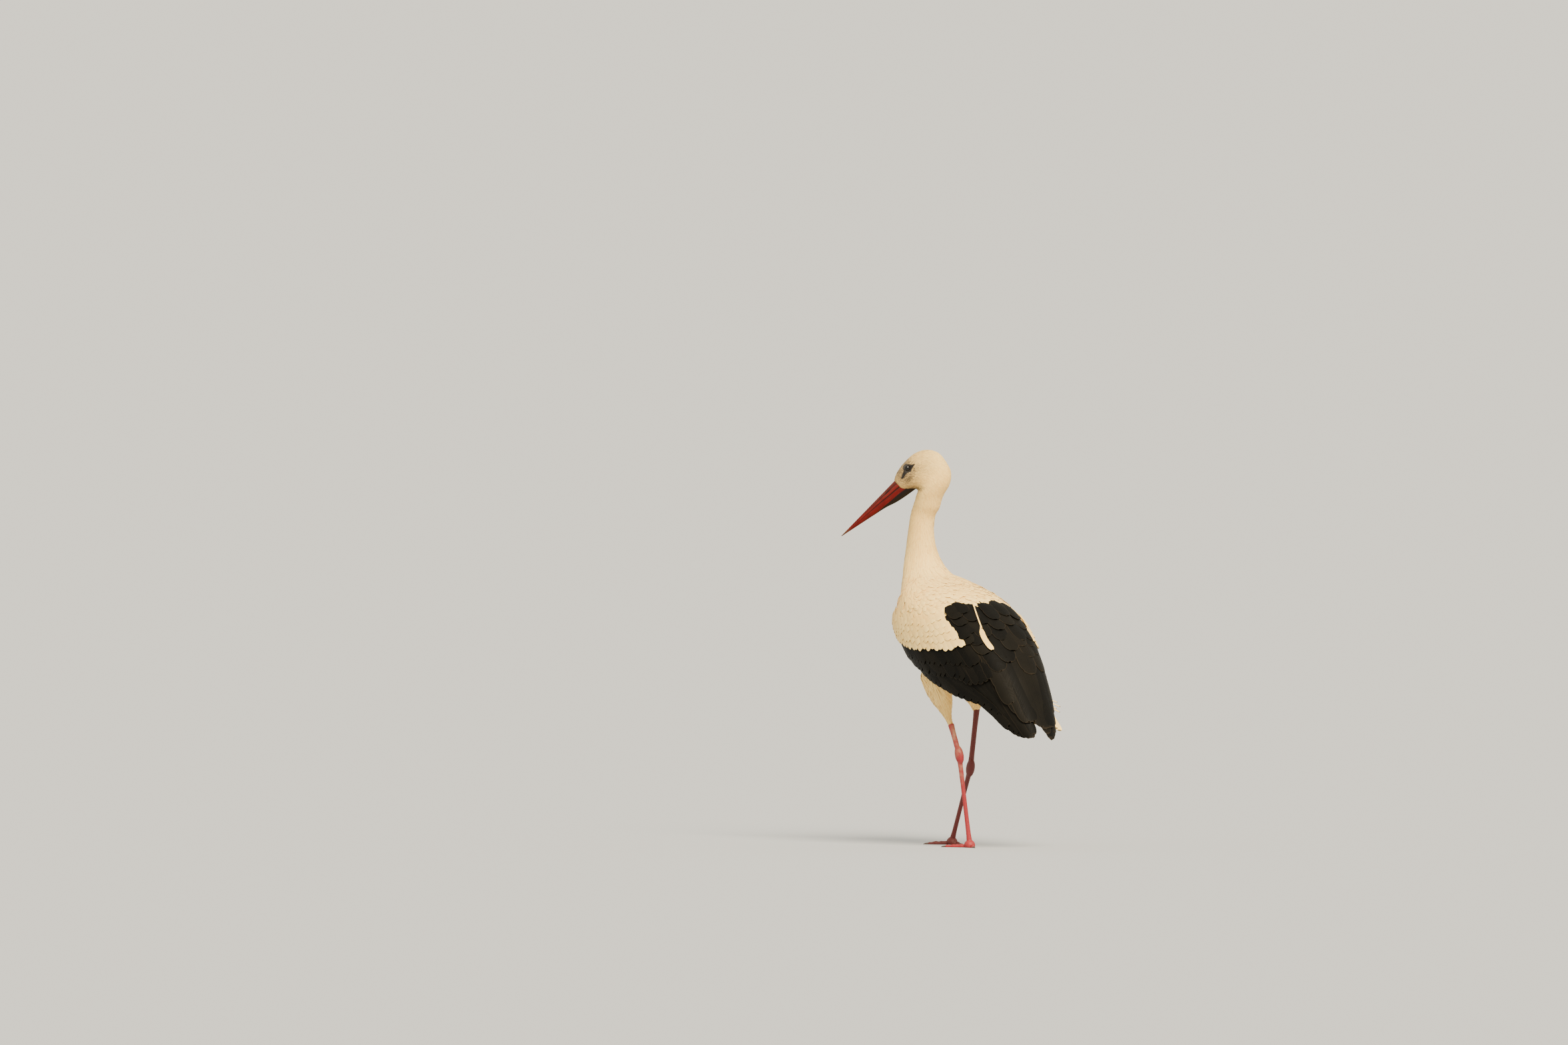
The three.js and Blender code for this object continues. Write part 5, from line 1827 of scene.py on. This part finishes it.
@dataclass(frozen=True)
class Eyelid:
    """The black bare skin round an eye, with a point behind it and a tongue running down ahead."""

    ring: float = 10.2
    opening: float = 7.0
    point_turn: float = np.radians(153.6)  # from straight out, upwards
    point_long: float = 21.0
    point_wide: float = 7.4
    tongue_turn: float = np.radians(-60.7)
    tongue_long: float = 30.0
    tongue_wide: float = 5.4

    def edge(self, turn: Array) -> Array:
        """How far the bare skin reaches from the eye's middle at each turn."""
        def lobe(at: float, wide: float, narrowing: float) -> Array:
            """The reach of a strip that leaves the eye at a turn and narrows on its way."""
            aside = (turn - at + np.pi) % (2 * np.pi) - np.pi
            facing = np.abs(aside) < np.pi / 2
            return np.where(facing, wide / (np.abs(np.sin(aside)) + narrowing * np.cos(aside)), 0)

        point = lobe(self.point_turn, self.point_wide, self.point_wide / self.point_long)
        tongue = lobe(self.tongue_turn, self.tongue_wide, 0.1)
        tongue = (np.maximum(tongue, 1e-3) ** -6 + self.tongue_long**-6.0) ** (-1 / 6)
        return (self.ring**8 + point**8 + tongue**8) ** (1 / 8)

    def reach(self, out: Array, up: Array) -> Array:
        """How far places lie from the eye's middle, as a share of the bare skin's reach there."""
        x, y = out - EYE.out, up - EYE.up
        return np.hypot(x, y) / self.edge(np.arctan2(y, x))

    def shape(self, side: Side, ground: Ground) -> Shape:
        """A closed ring of skin: from its edge over the swelling lid and in under the eye's rim."""
        turn = np.linspace(0, 2 * np.pi, 120, endpoint=False)
        edge = self.edge(turn)
        # Each row: the share of the way from the opening to the edge, and the height over the skin.
        rows = [(1.02, -2.5), (1.0, -0.6), (0.96, 0.5), (0.85, 0.75), (0.7, 0.75), (0.5, 0.75),
                (0.35, 0.8), (0.22, 0.9), (0.12, 1.0), (0.05, 1.0)]
        points = []
        for share, height in rows:
            reach = self.opening + (edge - self.opening) * share
            at = on_head(EYE.out + reach * np.cos(turn), EYE.up + reach * np.sin(turn), side * 25.0)
            at, normal = ground.settle(at)
            at = at + normal * height
            lateral = side * (at @ HEAD_LEFT - place(*HEAD_AT, 0) @ HEAD_LEFT)
            rim = EYE.aside + np.sqrt(np.maximum(EYE.radius**2 - reach**2, 0)) + 1.1
            near = smoothstep(share, 0.3, 0.05)
            at = at + (side * near * np.maximum(rim - lateral, 0))[:, None] * HEAD_LEFT
            points.append(at)
        for reach, lateral in ((self.opening - 0.5, 24.0), (self.opening - 0.8, 21.0),
                               (self.opening + 2, 18.0)):
            points.append(on_head(EYE.out + reach * np.cos(turn), EYE.up + reach * np.sin(turn),
                                  np.full(turn.shape, side * lateral)))
        n, m = len(points), len(turn)
        quads = grid_quads(n, m, around=True)
        i = np.arange(m)
        closing = np.stack([(n - 1) * m + i, (n - 1) * m + (i + 1) % m, (i + 1) % m, i], -1)
        quads = np.concatenate([quads, closing])
        return Shape(np.concatenate(points), quads[:, ::-1] if side is Side.RIGHT else quads)

    def add(self, ground: Ground) -> None:
        """Shows the skin round both eyes, and the eyes."""
        skin, glass = BareSkin().material(), EyeGlass().material()
        for side in Side:
            name = side.name.lower()
            add_piece("lid_" + name, mesh_of("lid_" + name, self.shape(side, ground)), skin,
                      "leg_skin")
            add_piece("eyeball_" + name, mesh_of("eyeball_" + name, eyeball(side)), glass, "eye",
                      "eye_" + name)


def eyeball(side: Side) -> Shape:
    """A ball whose map runs out from the pupil's middle, over rings round the head's own side."""
    polar = np.linspace(0.02, np.pi - 0.02, 44)
    centre = EYE.centre(side) + (side * EYE.radius * np.cos(polar))[:, None] * HEAD_LEFT
    reach = (EYE.radius * np.sin(polar))[:, None]
    shape = tube(ellipse_rings(centre, reach * UP, reach * HEAD_AHEAD, 48))
    out = np.repeat(polar / (np.pi / 2), 48)
    shape.vane = np.stack([np.concatenate([out, [0, 2]]), np.zeros(len(out) + 2)], -1).clip(0, 1)
    return shape


EYELID = Eyelid()


# ---- legs ----
@dataclass(frozen=True)
class Toe:
    """A toe: degrees outwards from the middle one, length and half width at the root."""

    name: str
    splay: float
    length: float
    root: float


TOES = (Toe("inner", -37, 60, 4.9), Toe("middle", 0, 76, 5.3), Toe("outer", 37, 64, 4.9),
        Toe("hind", 172, 27, 4.2))


@dataclass(frozen=True)
class Leg:
    """A bare leg from the end of the feathered thigh to the claws."""

    side: Side
    knee: Array
    ankle: Array
    foot: Array
    toe_in: float
    finish: LegSkin
    dusty: float
    shin_radii: Curve = Curve([[0, 7.4], [0.35, 6.2], [0.75, 6.2], [1, 8]])
    tarsus_radii: Curve = Curve([[0, 7.6], [0.12, 5.8], [0.5, 5], [0.85, 5.4], [1, 7]])
    toe_tall: float = 8.6
    pad: tuple[float, float, float] = (15, 12.5, 19)  # half length, half width, height
    CREASE_DEPTH: ClassVar[float] = 0.45
    SOLE: ClassVar[float] = 0.02  # how far the skin stays over the floor

    def limb(self, start: Array, end: Array, radii: Curve) -> Shape:
        """A round limb between two joints."""
        s = np.linspace(0, 1, 50)
        along = unit(end - start)
        across = unit(np.array([1.0, 0, 0]) - along[0] * along)
        through = np.cross(along, across)
        radius = radii(s)[:, None]
        return tube(ellipse_rings(start + s[:, None] * (end - start), radius * across,
                                  radius * 1.06 * through, 28))

    def joint(self) -> Shape:
        """The swelling ankle, set along the mean direction of the bones that it joins."""
        half_long, half_deep, half_wide = 23.0, 12.2, 9.6
        along = unit(unit(self.ankle - self.knee) + unit(self.foot - self.ankle))
        across = unit(np.array([1.0, 0, 0]) - along[0] * along)
        through = np.cross(along, across)
        s = np.linspace(-0.999, 0.999, 40)[:, None]
        round_it = np.sqrt(1 - s * s)
        return tube(ellipse_rings(self.ankle + s * half_long * along, half_wide * round_it * across,
                                  half_deep * round_it * through, 32))

    def heading(self, toe: Toe) -> Array:
        """The way that a toe points over the floor."""
        turn = np.radians(self.side * (toe.splay - self.toe_in))
        return place(np.cos(turn), np.sin(turn), 0)

    def floor_bar(self, direction: Array, distance: Array, half: Array,
                  tall: Array) -> Shape:
        """A bar along the floor with a flat sole, from its half widths and heights."""
        across = np.array([-direction[1], direction[0], 0.0])
        turn = np.linspace(0, 2 * np.pi, 28, endpoint=False)
        up = np.maximum(tall[:, None] * (0.36 + 0.64 * np.sin(turn)), 0)
        sole = self.foot * [1, 1, 0]
        rings = (sole + distance[:, None, None] * direction + up[..., None] * UP
                 + (half[:, None] * np.cos(turn))[..., None] * across)
        return tube(rings)

    def foot_shapes(self) -> list[Shape]:
        """The ball of the foot, and the toes with their swelling pads."""
        s = np.linspace(-1, 1, 24)
        roundness = np.sqrt(np.maximum(0.03, 1 - s * s))
        long, wide, high = self.pad
        shapes = [self.floor_bar(place(1, 0, 0), s * long, wide * roundness, high * roundness**0.8)]
        for toe in TOES:
            d = np.linspace(2, toe.length, 60)
            taper = 1 - 0.32 * d / toe.length
            pad = 1 + 0.1 * np.cos(2 * np.pi * d / 21)
            end = np.sqrt(np.maximum(1 - ((d - toe.length + 4) / 4.4).clip(0, 1) ** 2, 0.05))
            shapes.append(self.floor_bar(self.heading(toe), d, toe.root * taper * pad * end,
                                         self.toe_tall * taper * pad * end))
        return shapes

    def scales(self, points: Array) -> Array:
        """1 on a plate and 0 in the creases between plates.

        The front of the shin, the tarsus and the toes carries broad plates, 4.4 mm apart, which
        fade out towards the ankle.
        """
        plate = 4.4
        toe_lines = [(self.foot * [1, 1, 0], self.foot * [1, 1, 0] + toe.length * self.heading(toe))
                     for toe in TOES]
        lines = [(self.knee, self.ankle), (self.ankle, self.foot), *toe_lines]
        best = np.full(len(points), np.inf)
        crease = np.zeros(len(points))
        for i, (start, end) in enumerate(lines):
            way, length = unit(end - start), np.linalg.norm(end - start)
            along = (points - start) @ way
            off = points - start - np.clip(along, 0, length)[:, None] * way
            gap = np.linalg.norm(off, axis=1)
            facing = unit(off) @ (place(1, 0, 0) if i < 2 else UP)
            ring = np.cos(2 * np.pi * along / plate) ** 8 * (np.cos(2 * np.pi * along / plate) > 0)
            tight = smoothstep(np.abs(along - (length if i == 0 else 0)), 30, 18) * (i < 2)
            front = smoothstep(facing, -0.1, 0.3) * (1 - tight)
            crease = np.where(gap < best, front * ring, crease)
            best = np.minimum(gap, best)
        return 1 - crease

    def add(self) -> None:
        """Shows the leg's skin and its claws."""
        side = self.side.name.lower()
        start = self.knee + 5 * unit(self.knee - self.ankle)
        foot = self.foot * [1, 1, 0] + [0, 0, self.pad[2] / 2]
        shapes = [self.limb(start, self.ankle, self.shin_radii), self.joint(),
                  self.limb(self.ankle, foot, self.tarsus_radii), *self.foot_shapes()]
        name = "leg_" + side
        mesh = fused(name, shapes, cell=1.0, rounds=3)
        points = read_points(mesh)
        scale = self.scales(points)
        points -= read_normals(mesh) * (self.CREASE_DEPTH * (1 - scale))[:, None]
        points[:, 2] = np.maximum(points[:, 2], self.SOLE)
        write_points(mesh, points)
        shaded_side = smoothstep(points[:, 2], 40, 200) * self.dusty
        mark(mesh, {"scale": scale, "dusty": shaded_side})
        nodes = [f"{part}_{side}" for part in ("shin", "ankle", "tarsus", "foot")]
        nodes += [f"toe_{side}_{toe.name}" for toe in TOES]
        add_piece(name, mesh, self.finish.material(), "leg_skin", *nodes)
        claws = Shape.joined(self.claw(toe) for toe in TOES)
        add_piece("claws_" + side, mesh_of("claws_" + side, claws), Claw().material(),
                  "claw", *(f"claw_{side}_{toe.name}" for toe in TOES))

    def claw(self, toe: Toe) -> Shape:
        """A blunt claw that bends down to the floor."""
        s = np.linspace(0, 1, 16)
        base, long, half, tall = -3.0, 14.6, 2.3, 4.2
        thin = np.sqrt(np.maximum(1 - s**2.2, 0.02))
        return self.floor_bar(self.heading(toe), toe.length + base + long * s, half * thin,
                              tall * thin)


RED_SKIN = LegSkin(ink("93232a"), ink("5a1414"), ink("b89a78"), "leg_skin_red")
# The right leg's skin: the red skin painted darker, in maroon, as painted shade on the leg that stands in shadow.
SHADED_RED_SKIN = LegSkin(ink("5c1d1c"), ink("3d1412"), ink("8f7460"), "leg_skin_maroon")
LEGS = (
    Leg(Side.LEFT, place(-60, 53, 288), place(-86, 49, 221), place(-88, 20, 12), 8, RED_SKIN, 0.28),
    Leg(Side.RIGHT, place(-10, -56, 322), place(1, -46, 186), place(107, -68, 12), 2, SHADED_RED_SKIN,
        0.1),
)


# ---- the studio ----
@dataclass(frozen=True)
class Studio:
    """A plain pale floor under soft light, seen from the bird's rear left through a long lens."""

    azimuth: float = np.radians(145)
    pitch: float = np.radians(0.94)
    distance: float = 41.5
    lens: float = 400.0  # millimetres
    sensor: float = 36.0
    aside: float = 0.4072  # metres from the bird's foot line to the middle of the view
    rise: float = 0.7714
    floor_reach: float = 3000.0
    key: float = 8.5
    key_colour: tuple[float, float, float] = (1.0, 0.87, 0.66)
    key_tilt: float = np.radians(50)  # from straight down
    key_aside: float = np.radians(18)  # to the camera's right
    key_spread: float = np.radians(28)
    surround: float = 1.3
    surround_colour: tuple[float, float, float] = (1.0, 0.94, 0.79)

    def camera(self) -> bpy.types.Object:
        """Places the camera so that the bird stands a little right of the picture's middle."""
        back = np.array([np.sin(self.azimuth) * np.cos(self.pitch),
                         -np.cos(self.azimuth) * np.cos(self.pitch), np.sin(self.pitch)])
        right = np.array([np.cos(self.azimuth), np.sin(self.azimuth), 0.0])
        upward = np.cross(back, right)
        target = SHIFT * METRES - self.aside * right + self.rise * upward
        data = bpy.data.cameras.new("camera")
        data.lens, data.sensor_width = self.lens, self.sensor
        data.clip_start, data.clip_end = 1.0, 2 * self.floor_reach
        camera = bpy.data.objects.new("camera", data)
        camera.location = target + self.distance * back
        camera.rotation_euler = (np.pi / 2 - self.pitch, 0.0, self.azimuth)
        return show(camera)

    def floor_colour(self) -> Colour:
        """The colour that makes the lit floor as bright as the surround behind it."""
        key = np.array(self.key_colour) * self.key * np.cos(self.key_tilt) / np.pi
        surround = np.array(self.surround_colour) * self.surround
        return (*(float(v) for v in surround / (surround + key)), 1.0)

    def floor(self) -> bpy.types.Object:
        """A wide level floor."""
        reach = self.floor_reach
        mesh = bpy.data.meshes.new("floor")
        mesh.from_pydata([(-reach, -reach, 0), (reach, -reach, 0), (reach, reach, 0),
                          (-reach, reach, 0)], [], [(0, 1, 2, 3)])
        mesh.materials.append(Paper(self.floor_colour()).material())
        return show(bpy.data.objects.new("floor", mesh))

    def light(self) -> None:
        """A broad soft key from above the camera's right and an even pale surround."""
        data = bpy.data.lights.new("key", "SUN")
        data.energy, data.angle, data.color = self.key, self.key_spread, self.key_colour
        key = bpy.data.objects.new("key", data)
        key.rotation_euler = (self.key_tilt, 0.0, self.azimuth + self.key_aside)
        show(key)
        world = bpy.data.worlds.new("surround")
        world.use_nodes = True
        background = next(n for n in world.node_tree.nodes if n.type == "BACKGROUND")
        background.inputs["Color"].default_value = (*self.surround_colour, 1.0)
        background.inputs["Strength"].default_value = self.surround
        bpy.context.scene.world = world

    def build(self) -> None:
        """Sets up camera, floor and light."""
        bpy.context.scene.camera = self.camera()
        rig.stage(self.floor())
        self.light()


# ---- the whole bird ----
def plain(box: Sequence[Sequence[float]]) -> list[list[float]]:
    """A box as plain lists."""
    return [[float(v) for v in corner] for corner in box]


def main() -> None:
    """Builds the bird and its studio."""
    logging.basicConfig(level=logging.INFO, format="%(name)s: %(message)s")
    sizes = {"load": plain(CAD_BOX)}
    white, black = WhitePlumage().material(), BlackPlumage().material()
    body = Body()
    marks = body.marks(body.points)
    mark(body.mesh, {**marks, "tone": np.full(len(body.points), 0.5)})
    add_piece("skin", body.mesh, white, "white_plumage", *Body.REPLACED)
    Coat(body).add(white)
    Wing(Side.LEFT, LEFT_RIM).add(white, black)
    Wing(Side.RIGHT, RIGHT_RIM).add(white, black)
    Tail().add(white)
    BILL.add()
    EYELID.add(body.ground)
    for leg in LEGS:
        leg.add()
    Studio().build()
    sizes["end"] = plain(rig.bounds())
    with open("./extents.json", "w", encoding="utf-8") as out:
        json.dump(sizes, out)


if __name__ == "__main__":
    main()
